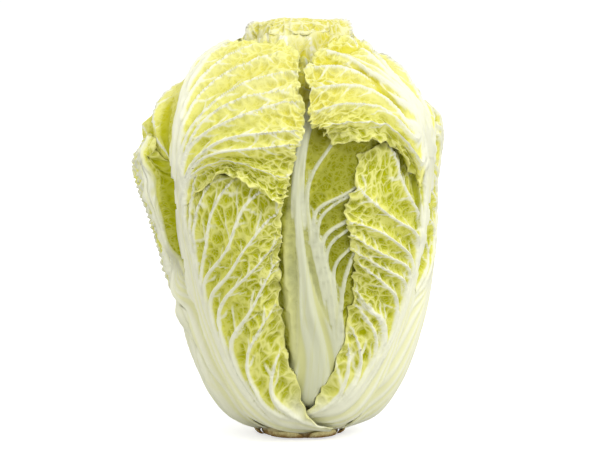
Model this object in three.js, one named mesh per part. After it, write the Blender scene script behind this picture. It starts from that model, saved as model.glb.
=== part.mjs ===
// Napa cabbage: a barrel-shaped head of nested leaves on a short cut stem.
// Millimetres, +Z up, origin at the centre of the stem's cut face, front towards -Y.
//
// Every leaf is a thin solid laid over the leaves inside it. Places on the head are
// directions from its heart: an azimuth, a climb from the cut stem (-90) over the side (0)
// to the crown (+90), and a swing sideways from the leaf's own midrib. The head is laid up
// from the outside inwards: each leaf takes the room that the leaves outside it leave.
import * as THREE from "three";

// ---- Driving dimensions ----------------------------------------------------------------
const HEART_HEIGHT = 150; // the point that all directions are measured from
const STEM_RADIUS = 24;
const STEM_FOOT_HEIGHT = 5;
const STEM_TOP_RADIUS = 9;
const STEM_TOP_HEIGHT = 84;
const LEAF_GAP = 1.3; // clear space between nested leaves
const MARGIN_THICKNESS = 1.2;
const WRAPPER_THICKNESS = { blade: 2.4, rib: 6.5 }; // rib: at the foot of the leaf's midrib
const HEART_THICKNESS = { blade: 3.4, rib: 6.5 }; // with its crumples
const RIB_HALF_SHARE = 0.55; // share of the half width that the thick rib fills at its foot
const WRAPPER_GRID = { columns: 10, rows: 14, reach: 5.5 }; // reach: degrees that each point clears
const HEART_GRID = { columns: 8, rows: 10, reach: 7 };
const HEART_LEAF_COUNT = 11;
const FIRST_HEART_AZIMUTH = 37;
const GOLDEN_ANGLE = 137.5;
const LAYUP_POINTS = 5000; // directions on which the free room is tracked
const LEAF_REACH = 3; // degrees round each sample of a leaf that it is taken to cover
const LEAF_SAMPLES = 4; // samples along each side of a grid cell
const RELAX_STEPS = 10;
const BUD_REACH = 14; // degrees round a point of the bud that it clears
const BUD_LEAST_RADIUS = 8;
const BUD_MOST_RADIUS = 40;
const STUB_COLUMNS = 6;
const STUB_CLEARANCE = 0.6; // over the surface that the stem stands on
const STUB_LEAN = 0.8; // how far a stub leans out at its top

// Trimmed leaf feet round the stem, with their azimuth, the arc they fill and their sizes.
const STUBS = [
  { azimuth: -18, spread: 46, radius: 24.5, thickness: 3.2, height: 3.0 },
  { azimuth: 33, spread: 44, radius: 24.6, thickness: 3.6, height: 3.4 },
  { azimuth: 98, spread: 60, radius: 24.5, thickness: 2.6, height: 2.8 },
  { azimuth: 172, spread: 52, radius: 24.5, thickness: 3.0, height: 3.2 },
  { azimuth: -96, spread: 62, radius: 24.6, thickness: 2.6, height: 2.8 },
];

// Half of the head's upright outline, from its underside to its crown: radius, height.
const OUTLINE = [
  [0, 3.5], [24, 4.6], [36, 6.6], [46.5, 13], [56, 24], [66, 43], [75, 71], [82.5, 103],
  [89.5, 135], [93.5, 172], [91, 196], [79, 215], [62, 233], [39, 249.5], [18, 256.5], [0, 258],
];

// The head bulges to its left at this height.
const BULGE = { shift: -5.5, height: 160, spread: 42 };

// Leaves from the outside of the head inwards. left and right are the swings in degrees of
// the two margins at equal steps from the leaf's foot to its tip, and lean is that of the
// midrib. drop is how far the tip's corners are rounded off, and flare how far in
// millimetres the free upper margin stands off the head.
const WRAPPERS = [
  { name: "outer_leaf_left", azimuth: -80, foot: -80, tip: 22, drop: 8, flare: 8,
    lean: [0, 0, -2],
    left: [6, 26, 36, 42, 44, 42, 34, 18], right: [5, 9, 9, 10, 12, 15, 14, 8] },
  { name: "outer_leaf_right", azimuth: 90, foot: -80, tip: 36, drop: 10, flare: 2,
    lean: [0, 0, 2],
    left: [5, 13, 16, 17, 16, 14, 11, 6], right: [6, 24, 34, 40, 42, 40, 32, 16] },
  { name: "outer_leaf_back", azimuth: 176, foot: -80, tip: 40, drop: 14, flare: 3,
    lean: [0, 0, 2],
    left: [6, 25, 35, 42, 44, 42, 34, 18], right: [6, 25, 36, 42, 45, 42, 33, 18] },
  { name: "crown_leaf_back", azimuth: 180, foot: -79.5, tip: 114, drop: 16, flare: 2,
    lean: [0, 0, 3],
    left: [8, 32, 45, 48, 45, 36, 25, 14], right: [8, 32, 46, 49, 46, 36, 24, 14] },
  { name: "wrapper_leaf_left", azimuth: -55, foot: -80, tip: 66, drop: 4, flare: 3,
    lean: [0, -2, -2, 2, 5, 1, -4, -8],
    left: [9.5, 28, 36, 42, 45, 44, 38, 24], right: [9.5, 29, 41, 49, 54, 52, 46, 27] },
  { name: "wrapper_leaf_right", azimuth: 67, foot: -80, tip: 72, drop: 4, flare: 3,
    lean: [0, 0, 1, 3, 1, -8, -14, -16],
    left: [9.5, 27, 36, 44, 46, 47, 48, 37], right: [9.5, 26, 34, 38, 40, 40, 34, 20] },
  { name: "crown_leaf_right", azimuth: 130, foot: -79.5, tip: 94, drop: 16, flare: 2,
    lean: [0, 0, -4],
    left: [9.5, 31, 44, 50, 48, 40, 30, 16], right: [9.5, 31, 44, 48, 46, 40, 30, 16] },
  { name: "crown_leaf_left", azimuth: -132, foot: -79.5, tip: 92, drop: 16, flare: 2,
    lean: [0, 0, 4],
    left: [9.5, 31, 44, 50, 48, 40, 30, 16], right: [9.5, 31, 44, 50, 48, 40, 30, 16] },
  { name: "front_leaf", azimuth: 8, foot: -80, tip: 66, drop: 12, flare: 0,
    lean: [2, 0, -4, -6, -5, -3, 1, 3],
    left: [9, 22, 31, 39, 43, 41, 34, 22], right: [9, 22, 31, 37, 40, 38, 32, 20] },
  { name: "crown_leaf_top", azimuth: 168, foot: -79.5, tip: 128, drop: 16, flare: 0,
    lean: [0, 0, 2],
    left: [9.5, 34, 50, 54, 48, 38, 28, 16], right: [9.5, 34, 50, 54, 48, 38, 28, 16] },
];

const HEART_LEAF = {
  foot: -79.5, tip: 100, drop: 20, flare: 0,
  lean: [0, 0, 0],
  left: [9.5, 38, 56, 64, 64, 58, 46, 24], right: [9.5, 38, 56, 64, 64, 58, 46, 24],
};

// ---- Materials -------------------------------------------------------------------------
const finish = (color, roughness) =>
  new THREE.MeshStandardMaterial({ color, roughness, metalness: 0 });
const WRAPPER_FINISH = finish(0xdfe08a, 0.5);
const HEART_FINISH = finish(0xf1eebb, 0.5);
const STEM_FINISH = finish(0xd9cf9c, 0.75);
const STUB_FINISH = finish(0xc9b97e, 0.8);

// ---- The head's form -------------------------------------------------------------------
const HEART = new THREE.Vector3(0, 0, HEART_HEIGHT);
const { degToRad, radToDeg, lerp, clamp, smoothstep } = THREE.MathUtils;

// Distance from the heart to the head's outline, by climb.
const outlineTable = new THREE.SplineCurve(OUTLINE.map(([r, z]) => new THREE.Vector2(r, z)))
  .getPoints(240)
  .map((p) => ({
    climb: Math.atan2(p.y - HEART_HEIGHT, Math.max(p.x, 0)),
    reach: Math.hypot(p.x, p.y - HEART_HEIGHT),
  }));

function outlineReach(direction) {
  const climb = Math.asin(clamp(direction.z, -1, 1));
  let i = 1;
  while (i < outlineTable.length - 1 && outlineTable[i].climb < climb) i++;
  const [a, b] = [outlineTable[i - 1], outlineTable[i]];
  const share = clamp((climb - a.climb) / (b.climb - a.climb || 1), 0, 1);
  return lerp(a.reach, b.reach, share);
}

// The direction at a climb and swing from a midrib at this azimuth.
function directionAt(azimuth, climb, swing) {
  const [a, c, s] = [azimuth, climb, swing].map(degToRad);
  const out = new THREE.Vector3(Math.sin(a), -Math.cos(a), 0);
  const side = new THREE.Vector3(Math.cos(a), Math.sin(a), 0);
  return out
    .multiplyScalar(Math.cos(s) * Math.cos(c))
    .addScaledVector(side, Math.sin(s))
    .add(new THREE.Vector3(0, 0, Math.cos(s) * Math.sin(c)));
}

const pointAt = (direction, offset) =>
  HEART.clone().addScaledVector(direction, outlineReach(direction) + offset);

// A smooth curve through values at equal steps of t from 0 to 1.
function along(values, t) {
  const curve = values.map((y, i) => new THREE.Vector2(i / (values.length - 1), y));
  return new THREE.SplineCurve(curve).getPoint(t).y;
}

// ---- Free room under the leaves laid so far --------------------------------------------
class FreeRoom {
  constructor(count) {
    this.directions = [];
    this.offset = new Float64Array(count).fill(LEAF_GAP);
    for (let i = 0; i < count; i++) {
      const z = 1 - (2 * i + 1) / count;
      const ring = Math.sqrt(1 - z * z);
      const turn = degToRad(GOLDEN_ANGLE) * i;
      this.directions.push(new THREE.Vector3(ring * Math.cos(turn), ring * Math.sin(turn), z));
    }
  }

  // The deepest offset within reach of a direction.
  ceiling(direction, reach) {
    const near = Math.cos(degToRad(reach));
    let lowest = Infinity;
    this.directions.forEach((d, i) => {
      if (d.dot(direction) > near) lowest = Math.min(lowest, this.offset[i]);
    });
    return lowest;
  }

  // Takes the room inside a leaf, whose inner face goes through this grid of points.
  take(points, columns, rows) {
    const near = Math.cos(degToRad(LEAF_REACH));
    const samples = gridSamples(points, columns, rows).map((point) => {
      const direction = point.sub(HEART);
      const reach = direction.length();
      direction.normalize();
      return { direction, offset: reach - outlineReach(direction) };
    });
    this.directions.forEach((d, i) => {
      for (const s of samples)
        if (s.offset < this.offset[i] && s.direction.dot(d) > near) this.offset[i] = s.offset;
    });
  }
}

// Points spread over the cells of a grid.
function gridSamples(points, columns, rows) {
  const samples = [];
  for (let r = 0; r < rows; r++)
    for (let c = 0; c < columns; c++)
      for (let k = 0; k < LEAF_SAMPLES ** 2; k++) {
        const across = (k % LEAF_SAMPLES) / (LEAF_SAMPLES - 1);
        const up = Math.floor(k / LEAF_SAMPLES) / (LEAF_SAMPLES - 1);
        const i = r * (columns + 1) + c;
        const low = points[i].clone().lerp(points[i + 1], across);
        const high = points[i + columns + 1].clone().lerp(points[i + columns + 2], across);
        samples.push(low.lerp(high, up));
      }
  return samples;
}

// ---- Leaves ----------------------------------------------------------------------------
// Thickness at u from margin (-1) to margin (1) and v from the foot (0) to the tip (1).
function leafThickness(u, v, thickness) {
  const ribHalf = RIB_HALF_SHARE * (1 - 0.75 * v);
  const rib = 1 - smoothstep(Math.abs(u), 0.2 * ribHalf, ribHalf);
  const blade = lerp(thickness.blade, MARGIN_THICKNESS, smoothstep(Math.abs(u), 0.7, 1));
  return blade + rib * (thickness.rib - blade) * (1 - 0.85 * smoothstep(v, 0, 0.8));
}

// How much lower than the foot's own climb a foot dips at a swing, to stay beside the stem.
function footDip(foot, swing) {
  const lowest = Math.sin(degToRad(-foot)) / Math.cos(degToRad(swing));
  return radToDeg(Math.asin(Math.min(lowest, 1))) + foot;
}

// Lays one leaf into the free room and returns its closed geometry.
function leafGeometry(leaf, room, { columns, rows, reach }, thickness) {
  const directions = [];
  const flare = [];
  const depth = [];
  for (let r = 0; r <= rows; r++) {
    const v = r / rows;
    for (let c = 0; c <= columns; c++) {
      const u = (2 * c) / columns - 1;
      const margin = u < 0 ? -along(leaf.left, v) : along(leaf.right, v);
      const swing = lerp(along(leaf.lean, v), margin, Math.abs(u));
      const dip = footDip(leaf.foot, swing) * (1 - v) ** 8;
      const climb = lerp(leaf.foot, leaf.tip, v) - leaf.drop * v ** 4 * u * u - dip;
      directions.push(directionAt(leaf.azimuth, climb, swing));
      flare.push(leaf.flare * smoothstep(v, 0.5, 1));
      depth.push(leafThickness(u, v, thickness));
    }
  }
  const width = columns + 1;
  const ceiling = directions.map((d) => room.ceiling(d, reach));
  let outer = ceiling.slice();
  for (let step = 0; step < RELAX_STEPS; step++)
    outer = outer.map((own, i) => {
      const [r, c] = [Math.floor(i / width), i % width];
      const near = [own];
      if (c > 0) near.push(outer[i - 1]);
      if (c < columns) near.push(outer[i + 1]);
      if (r > 0) near.push(outer[i - width]);
      if (r < rows) near.push(outer[i + width]);
      return Math.min(ceiling[i], near.reduce((a, b) => a + b) / near.length);
    });
  outer = outer.map((own) => own - LEAF_GAP);
  const inner = outer.map((own, i) => own - depth[i]);
  room.take(directions.map((d, i) => pointAt(d, inner[i])), columns, rows);
  return shellGeometry(
    directions.map((d, i) => pointAt(d, outer[i] + flare[i])),
    directions.map((d, i) => pointAt(d, inner[i] + flare[i])),
    columns,
    rows,
  );
}

// A closed solid between two grids of points, the first one facing out of the head.
function shellGeometry(outer, inner, columns, rows) {
  const width = columns + 1;
  const points = [...outer, ...inner];
  const index = [];
  const quad = (a, b, c, d) => index.push(a, b, c, a, c, d);
  const shift = outer.length;
  for (let r = 0; r < rows; r++)
    for (let c = 0; c < columns; c++) {
      const i = r * width + c;
      quad(i, i + 1, i + width + 1, i + width);
      quad(shift + i, shift + i + width, shift + i + width + 1, shift + i + 1);
    }
  for (let c = 0; c < columns; c++) {
    const top = rows * width + c;
    quad(c + 1, c, shift + c, shift + c + 1);
    quad(top, top + 1, shift + top + 1, shift + top);
  }
  for (let r = 0; r < rows; r++) {
    const [a, b] = [r * width, r * width + columns];
    quad(a, a + width, shift + a + width, shift + a);
    quad(b + width, b, shift + b, shift + b + width);
  }
  return new THREE.BufferGeometry().setFromPoints(points).setIndex(index);
}

// ---- Stem, trimmed leaf feet and bud ---------------------------------------------------
function stemGeometry() {
  const profile = [
    [0, 0], [STEM_RADIUS - 1, 0], [STEM_RADIUS, 1], [STEM_RADIUS, STEM_FOOT_HEIGHT],
    [STEM_RADIUS - 1.5, 10], [STEM_TOP_RADIUS, STEM_TOP_HEIGHT - 6],
    [STEM_TOP_RADIUS - 4, STEM_TOP_HEIGHT - 1.5], [0, STEM_TOP_HEIGHT],
  ].map(([r, z]) => new THREE.Vector2(r, z));
  return new THREE.LatheGeometry(profile, 28).rotateX(Math.PI / 2);
}

// The closed bud of the youngest leaves, filling what room is left round the heart.
function budGeometry(room) {
  const sphere = new THREE.SphereGeometry(1, 14, 10).rotateX(Math.PI / 2);
  const place = sphere.getAttribute("position");
  for (let i = 0; i < place.count; i++) {
    const direction = new THREE.Vector3().fromBufferAttribute(place, i).normalize();
    const deepest = room.ceiling(direction, BUD_REACH) - LEAF_GAP;
    const reach = clamp(outlineReach(direction) + deepest, BUD_LEAST_RADIUS, BUD_MOST_RADIUS);
    const point = HEART.clone().addScaledVector(direction, reach);
    place.setXYZ(i, point.x, point.y, point.z);
  }
  return sphere;
}

// A stub of a trimmed outer leaf: a short curved plate against the foot of the stem.
function stubGeometry({ azimuth, spread, radius, thickness, height }) {
  const outer = [];
  const inner = [];
  for (let r = 0; r <= 1; r++)
    for (let c = 0; c <= STUB_COLUMNS; c++) {
      const turn = degToRad(azimuth + spread * (c / STUB_COLUMNS - 0.5));
      const away = new THREE.Vector3(Math.sin(turn), -Math.cos(turn), 0);
      const z = STUB_CLEARANCE + height * r;
      outer.push(away.clone().multiplyScalar(radius + thickness + STUB_LEAN * r).setZ(z));
      inner.push(away.clone().multiplyScalar(radius + STUB_LEAN * r).setZ(z));
    }
  return shellGeometry(outer, inner, STUB_COLUMNS, 1);
}

// ---- The whole head --------------------------------------------------------------------
const cabbage = new THREE.Group();

// Leans a piece over with the head's bulge.
function bulge(geometry) {
  const place = geometry.getAttribute("position");
  for (let i = 0; i < place.count; i++) {
    const away = (place.getZ(i) - BULGE.height) / BULGE.spread;
    place.setX(i, place.getX(i) + BULGE.shift * Math.exp(-away * away));
  }
  return geometry;
}

function addPiece(name, geometry, material) {
  const mesh = new THREE.Mesh(bulge(geometry), material);
  mesh.name = name;
  cabbage.add(mesh);
}

addPiece("stem", stemGeometry(), STEM_FINISH);

const room = new FreeRoom(LAYUP_POINTS);
for (const leaf of WRAPPERS)
  addPiece(leaf.name, leafGeometry(leaf, room, WRAPPER_GRID, WRAPPER_THICKNESS), WRAPPER_FINISH);

for (let i = 0; i < HEART_LEAF_COUNT; i++) {
  const leaf = { ...HEART_LEAF, azimuth: FIRST_HEART_AZIMUTH + GOLDEN_ANGLE * i };
  const name = "heart_leaf_" + String(i + 1).padStart(2, "0");
  addPiece(name, leafGeometry(leaf, room, HEART_GRID, HEART_THICKNESS), HEART_FINISH);
}
addPiece("heart_bud", budGeometry(room), HEART_FINISH);

STUBS.forEach((stub, i) => addPiece("trimmed_leaf_foot_" + (i + 1), stubGeometry(stub), STUB_FINISH));

export default cabbage;
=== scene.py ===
"""Looks of a napa cabbage: crumpled, veined leaves laid round a cut stem.

Lengths are millimetres until a mesh is made, and angles are degrees. Places on the head
are directions from its heart: an azimuth round the head with 0 at the front, a climb from
the cut stem (-90) over the side (0) to the crown (+90), and a swing sideways from the
leaf's own midrib. A leaf's blade is also laid out flat, with its swing and climb turned
into millimetres, and its veins and crumples are drawn on that flat blade.
"""
import logging
import math
from dataclasses import dataclass, field, replace
from enum import Enum
from typing import Any, Sequence

import bpy
import numpy as np
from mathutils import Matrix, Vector
from mathutils.bvhtree import BVHTree


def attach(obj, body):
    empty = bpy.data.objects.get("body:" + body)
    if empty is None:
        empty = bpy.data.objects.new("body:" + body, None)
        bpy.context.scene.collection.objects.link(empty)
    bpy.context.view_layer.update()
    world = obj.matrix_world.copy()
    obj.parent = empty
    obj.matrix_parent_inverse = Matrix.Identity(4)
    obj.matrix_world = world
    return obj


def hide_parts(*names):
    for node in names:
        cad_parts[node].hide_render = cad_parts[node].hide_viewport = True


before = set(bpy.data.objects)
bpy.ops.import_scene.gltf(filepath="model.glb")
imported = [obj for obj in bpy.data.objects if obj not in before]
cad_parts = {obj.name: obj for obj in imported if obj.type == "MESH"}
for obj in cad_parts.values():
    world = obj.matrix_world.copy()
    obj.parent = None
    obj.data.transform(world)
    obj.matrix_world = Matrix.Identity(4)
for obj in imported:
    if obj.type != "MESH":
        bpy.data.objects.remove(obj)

LOG = logging.getLogger("napa_cabbage")
ROOT = "root"
MM = 0.001
HEART = np.array([0.0, 0.0, 150.0])
OUTSIDE = 300.0  # further from the heart than any leaf
FLAT_MM = 1.66  # millimetres of flat blade to a degree
LEAF_CLEARANCE = 0.45  # between one leaf's inner face and the next leaf's outer face
PRESS_SLOPE = 0.7  # how steeply a leaf comes out from under another one's margin
BULGE = {"shift": -5.5, "height": 160.0, "spread": 42.0}  # the head bulges to its left here

Array = np.ndarray
Sockets = Sequence[tuple[str, str]]


class Slot(Enum):
    """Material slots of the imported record."""

    WRAPPER = "wrapper_leaf"
    HEART = "heart_leaf"
    STEM = "stem"
    TRIMMED = "trimmed_foot"


class Look(Enum):
    """Which finish a leaf gets."""

    WRAPPER = "wrapper"
    # A darker copy of the wrapper finish: painted shade for the front leaf, deep in the head's opening.
    FRONT = "front"
    CROWN = "crown"
    HEART = "heart"


class Side(Enum):
    """The two halves of a blade, seen from outside with the foot down."""

    LEFT = -1
    RIGHT = 1


class Level(Enum):
    """Orders of vein."""

    MIDRIB = 0
    LATERAL = 1
    BRANCH = 2


# ---- Numbers along curves and over grids --------------------------------------------------
def spline(values: Sequence[float] | Array, t: Array) -> Array:
    """Smooth curve through values at equal steps.

    Args:
        values: One value, or one row of values, for each step.
        t: Places along the curve, from 0 to 1.

    Returns:
        The curve's value, or row of values, at each place.
    """
    knots = np.asarray(values, float)
    last = len(knots) - 1
    place = np.clip(np.asarray(t, float), 0, 1) * last
    i = np.minimum(place.astype(int), last - 1)
    s = (place - i).reshape(place.shape + (1,) * (knots.ndim - 1))
    a, b, c, d = (knots[np.clip(i + k, 0, last)] for k in (-1, 0, 1, 2))
    into, out = (c - a) / 2, (d - b) / 2
    return (2 * b - 2 * c + into + out) * s**3 + (3 * c - 3 * b - 2 * into - out) * s**2 + into * s + b


def smoothstep(x: Array | float, low: float, high: float) -> Array:
    """Rises smoothly from 0 at low to 1 at high."""
    t = np.clip((np.asarray(x, float) - low) / (high - low), 0, 1)
    return t * t * (3 - 2 * t)


def bell(x: Array) -> Array:
    """A smooth bump of height 1 at 0 that is nearly gone at 2."""
    return np.exp(-np.square(x))


def directions(azimuth: float, climb: Array, swing: Array) -> Array:
    """Unit directions from the heart.

    Args:
        azimuth: Where the leaf's midrib stands.
        climb: Climb of each direction.
        swing: Swing of each direction from the midrib.

    Returns:
        The directions, with x, y and z on a last axis.
    """
    a, c, s = math.radians(azimuth), np.radians(climb), np.radians(swing)
    out = np.array([math.sin(a), -math.cos(a), 0.0])
    side = np.array([math.cos(a), math.sin(a), 0.0])
    up = np.array([0.0, 0.0, 1.0])
    return (
        (np.cos(s) * np.cos(c))[..., None] * out
        + np.sin(s)[..., None] * side
        + (np.cos(s) * np.sin(c))[..., None] * up
    )


def foot_dip(foot: float, swing: Array) -> Array:
    """How much lower than the foot's own climb a foot dips at a swing, to stay beside the stem."""
    lowest = np.sin(math.radians(-foot)) / np.cos(np.radians(swing))
    return np.degrees(np.arcsin(np.minimum(lowest, 1))) + foot


def notches(along: Array, chance: np.random.Generator) -> Array:
    """A frilled edge's ins and outs.

    Args:
        along: Distance along the edge.
        chance: Where the notches fall.

    Returns:
        How far the edge stands out at each distance, up to about 3.
    """
    total = np.zeros_like(along)
    for length, depth in ((24.0, 1.0), (11.5, 1.1), (6.3, 0.9), (3.9, 0.5)):
        phase, drift = chance.uniform(0, math.tau), chance.uniform(0, math.tau)
        bend = 0.9 * np.sin(along / (2.3 * length) + drift)
        total += depth * (0.75 - 1.4 * np.abs(np.sin(math.pi * along / length + phase + bend)))
    return total


def bulge(z: Array) -> Array:
    """How far the head bulges sideways at each height."""
    return BULGE["shift"] * np.exp(-np.square((z - BULGE["height"]) / BULGE["spread"]))


def unit(vectors: Array) -> Array:
    """The vectors at length 1."""
    return vectors / np.maximum(np.linalg.norm(vectors, axis=-1, keepdims=True), 1e-12)


# ---- Node trees ----------------------------------------------------------------------------
class Graph:
    """Adds nodes to one node tree and links them."""

    def __init__(self, tree: bpy.types.NodeTree) -> None:
        """Keeps the tree that the nodes go into."""
        self.tree = tree

    def node(
        self, kind: str, inputs: dict[str | int, Any] | None = None, **settings: Any
    ) -> bpy.types.Node:
        """Adds a node.

        Args:
            kind: The node's type name.
            inputs: A value or another node's output socket, by input name or number.
            **settings: The node's own properties.

        Returns:
            The new node.
        """
        node = self.tree.nodes.new(kind)
        for name, value in settings.items():
            setattr(node, name, value)
        for name, value in (inputs or {}).items():
            if isinstance(value, bpy.types.NodeSocket):
                self.tree.links.new(value, node.inputs[name])
            else:
                node.inputs[name].default_value = value
        return node

    def math(self, operation: str, *values: Any, clamp: bool = False) -> bpy.types.NodeSocket:
        """The result of a Math node on up to three values or sockets."""
        inputs = dict(enumerate(values))
        return self.node("ShaderNodeMath", inputs, operation=operation, use_clamp=clamp).outputs[0]

    def plus(self, a: Any, b: Any, clamp: bool = False) -> bpy.types.NodeSocket:
        """The sum of two values."""
        return self.math("ADD", a, b, clamp=clamp)

    def minus(self, a: Any, b: Any, clamp: bool = False) -> bpy.types.NodeSocket:
        """The difference of two values."""
        return self.math("SUBTRACT", a, b, clamp=clamp)

    def times(self, a: Any, b: Any) -> bpy.types.NodeSocket:
        """The product of two values."""
        return self.math("MULTIPLY", a, b)

    def fall(self, distance: Any, reach: float) -> bpy.types.NodeSocket:
        """A value that falls from 1 at distance 0, to a third at a reach."""
        return self.math("EXPONENT", self.math("DIVIDE", distance, -reach))

    def vector(self, operation: str, *values: Any) -> bpy.types.NodeSocket:
        """Adds a Vector Math node.

        Args:
            operation: Its operation.
            *values: Vectors or sockets, and last, for a scale, {"Scale": factor}.

        Returns:
            Its result.
        """
        inputs: dict[str | int, Any] = {}
        for i, value in enumerate(values):
            inputs.update(value if isinstance(value, dict) else {i: value})
        return self.node("ShaderNodeVectorMath", inputs, operation=operation).outputs[0]

    def ramp(
        self, value: Any, low: float, high: float, to_low: float = 0.0, to_high: float = 1.0
    ) -> bpy.types.NodeSocket:
        """A smooth step of a value from one range into another."""
        inputs = {"Value": value, "From Min": low, "From Max": high, "To Min": to_low, "To Max": to_high}
        return self.node("ShaderNodeMapRange", inputs, interpolation_type="SMOOTHSTEP").outputs[0]

    def mix(self, factor: Any, a: Any, b: Any) -> bpy.types.NodeSocket:
        """A mix of two colours."""
        return self.node("ShaderNodeMix", {0: factor, 6: a, 7: b}, data_type="RGBA").outputs[2]

    def noise(
        self, place: Any, scale: float, detail: float = 2.0, output: int = 0, seed: Any = 0.0
    ) -> bpy.types.NodeSocket:
        """Seeded noise at a place; output 0 is a value and 1 a colour."""
        inputs = {"Vector": place, "W": seed, "Scale": scale, "Detail": detail}
        return self.node("ShaderNodeTexNoise", inputs, noise_dimensions="4D").outputs[output]

    def stored(self, name: str, kind: str = "FLOAT") -> bpy.types.NodeSocket:
        """A value stored on the mesh, in a geometry tree."""
        inputs = {"Name": name}
        return self.node("GeometryNodeInputNamedAttribute", inputs, data_type=kind).outputs[0]

    def hand_over(self, shape: bpy.types.NodeSocket, finish: bpy.types.NodeSocket) -> None:
        """Ends a geometry tree with real mesh in its finish.

        Args:
            shape: The mesh, and instances that are to be made real.
            finish: Its material.
        """
        real = self.node("GeometryNodeRealizeInstances", {0: shape}).outputs[0]
        painted = self.node("GeometryNodeSetMaterial", {0: real, "Material": finish}).outputs[0]
        self.node("NodeGroupOutput", {0: painted})


def new_tree(name: str, kind: str, inputs: Sockets, outputs: Sockets) -> bpy.types.NodeTree:
    """Makes a node group with named sockets.

    Args:
        name: The group's name.
        kind: The type of its tree.
        inputs: The name and type of each input.
        outputs: And of each output.

    Returns:
        The group, still empty.
    """
    tree = bpy.data.node_groups.new(name, kind)
    for in_out, sockets in (("INPUT", inputs), ("OUTPUT", outputs)):
        for label, socket in sockets:
            tree.interface.new_socket(label, in_out=in_out, socket_type=socket)
    return tree


def vein_net(graph: Graph, flat: bpy.types.NodeSocket, cell: float, width: float) -> bpy.types.NodeSocket:
    """Draws the net of small veins on the flat blade, in a geometry or a shader tree.

    Args:
        graph: The tree to draw in.
        flat: Places on the flat blade.
        cell: Size of the net's meshes.
        width: How far a vein's slope reaches, as a share of a mesh.

    Returns:
        A socket that is 1 on the net's veins and falls to 0 between them.
    """
    place = flat
    for scale, reach in ((0.1, 10.0), (0.3, 2.4)):
        bend = graph.vector("SUBTRACT", graph.noise(flat, scale, 1.0, 1), (0.5, 0.5, 0.5))
        place = graph.vector("ADD", place, graph.vector("SCALE", bend, {"Scale": reach}))
    inputs = {"Vector": place, "Scale": 1 / cell, "Randomness": 0.9}
    edge = graph.node("ShaderNodeTexVoronoi", inputs, feature="DISTANCE_TO_EDGE").outputs["Distance"]
    return graph.ramp(edge, 0.0, width, 1.0, 0.0)


def small_net(graph: Graph, flat: Any, cell: float, width: float) -> bpy.types.NodeSocket:
    """Draws the finer net inside the meshes of the other, as vein_net does."""
    return vein_net(graph, graph.vector("ADD", flat, (31.0, 17.0, 0.0)), cell * 0.45, width)


# ---- Veins of a flat blade -----------------------------------------------------------------
@dataclass
class VeinSet:
    """Polylines on the flat blade, with a width, a rise and an order at each point."""

    points: list[Array] = field(default_factory=list)
    edges: list[Array] = field(default_factory=list)
    widths: list[Array] = field(default_factory=list)
    rises: list[Array] = field(default_factory=list)
    levels: list[Array] = field(default_factory=list)
    count: int = 0

    def add(self, line: Array, width: Array, rise: Array, level: Level) -> None:
        """Adds one vein.

        Args:
            line: Its points, one row of x and y each.
            width: Half its width at each point.
            rise: How far it stands out of the blade at each point.
            level: Its order.
        """
        many = len(line)
        self.points.append(np.column_stack([line, np.zeros(many)]))
        self.edges.append(self.count + np.column_stack([np.arange(many - 1), np.arange(1, many)]))
        self.widths.append(np.broadcast_to(width, many))
        self.rises.append(np.broadcast_to(rise, many))
        self.levels.append(np.full(many, level.value))
        self.count += many

    def to_object(self, name: str) -> bpy.types.Object:
        """Makes a wire object of the veins, for a geometry tree to read.

        Args:
            name: Its name.

        Returns:
            The object, which is not shown.
        """
        mesh = bpy.data.meshes.new(name)
        mesh.from_pydata(np.concatenate(self.points).tolist(), np.concatenate(self.edges).tolist(), [])
        for label, values in (("width", self.widths), ("rise", self.rises), ("level", self.levels)):
            attribute = mesh.attributes.new(label, "FLOAT", "POINT")
            attribute.data.foreach_set("value", np.concatenate(values).astype(np.float32))
        return bpy.data.objects.new(name, mesh)


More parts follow.
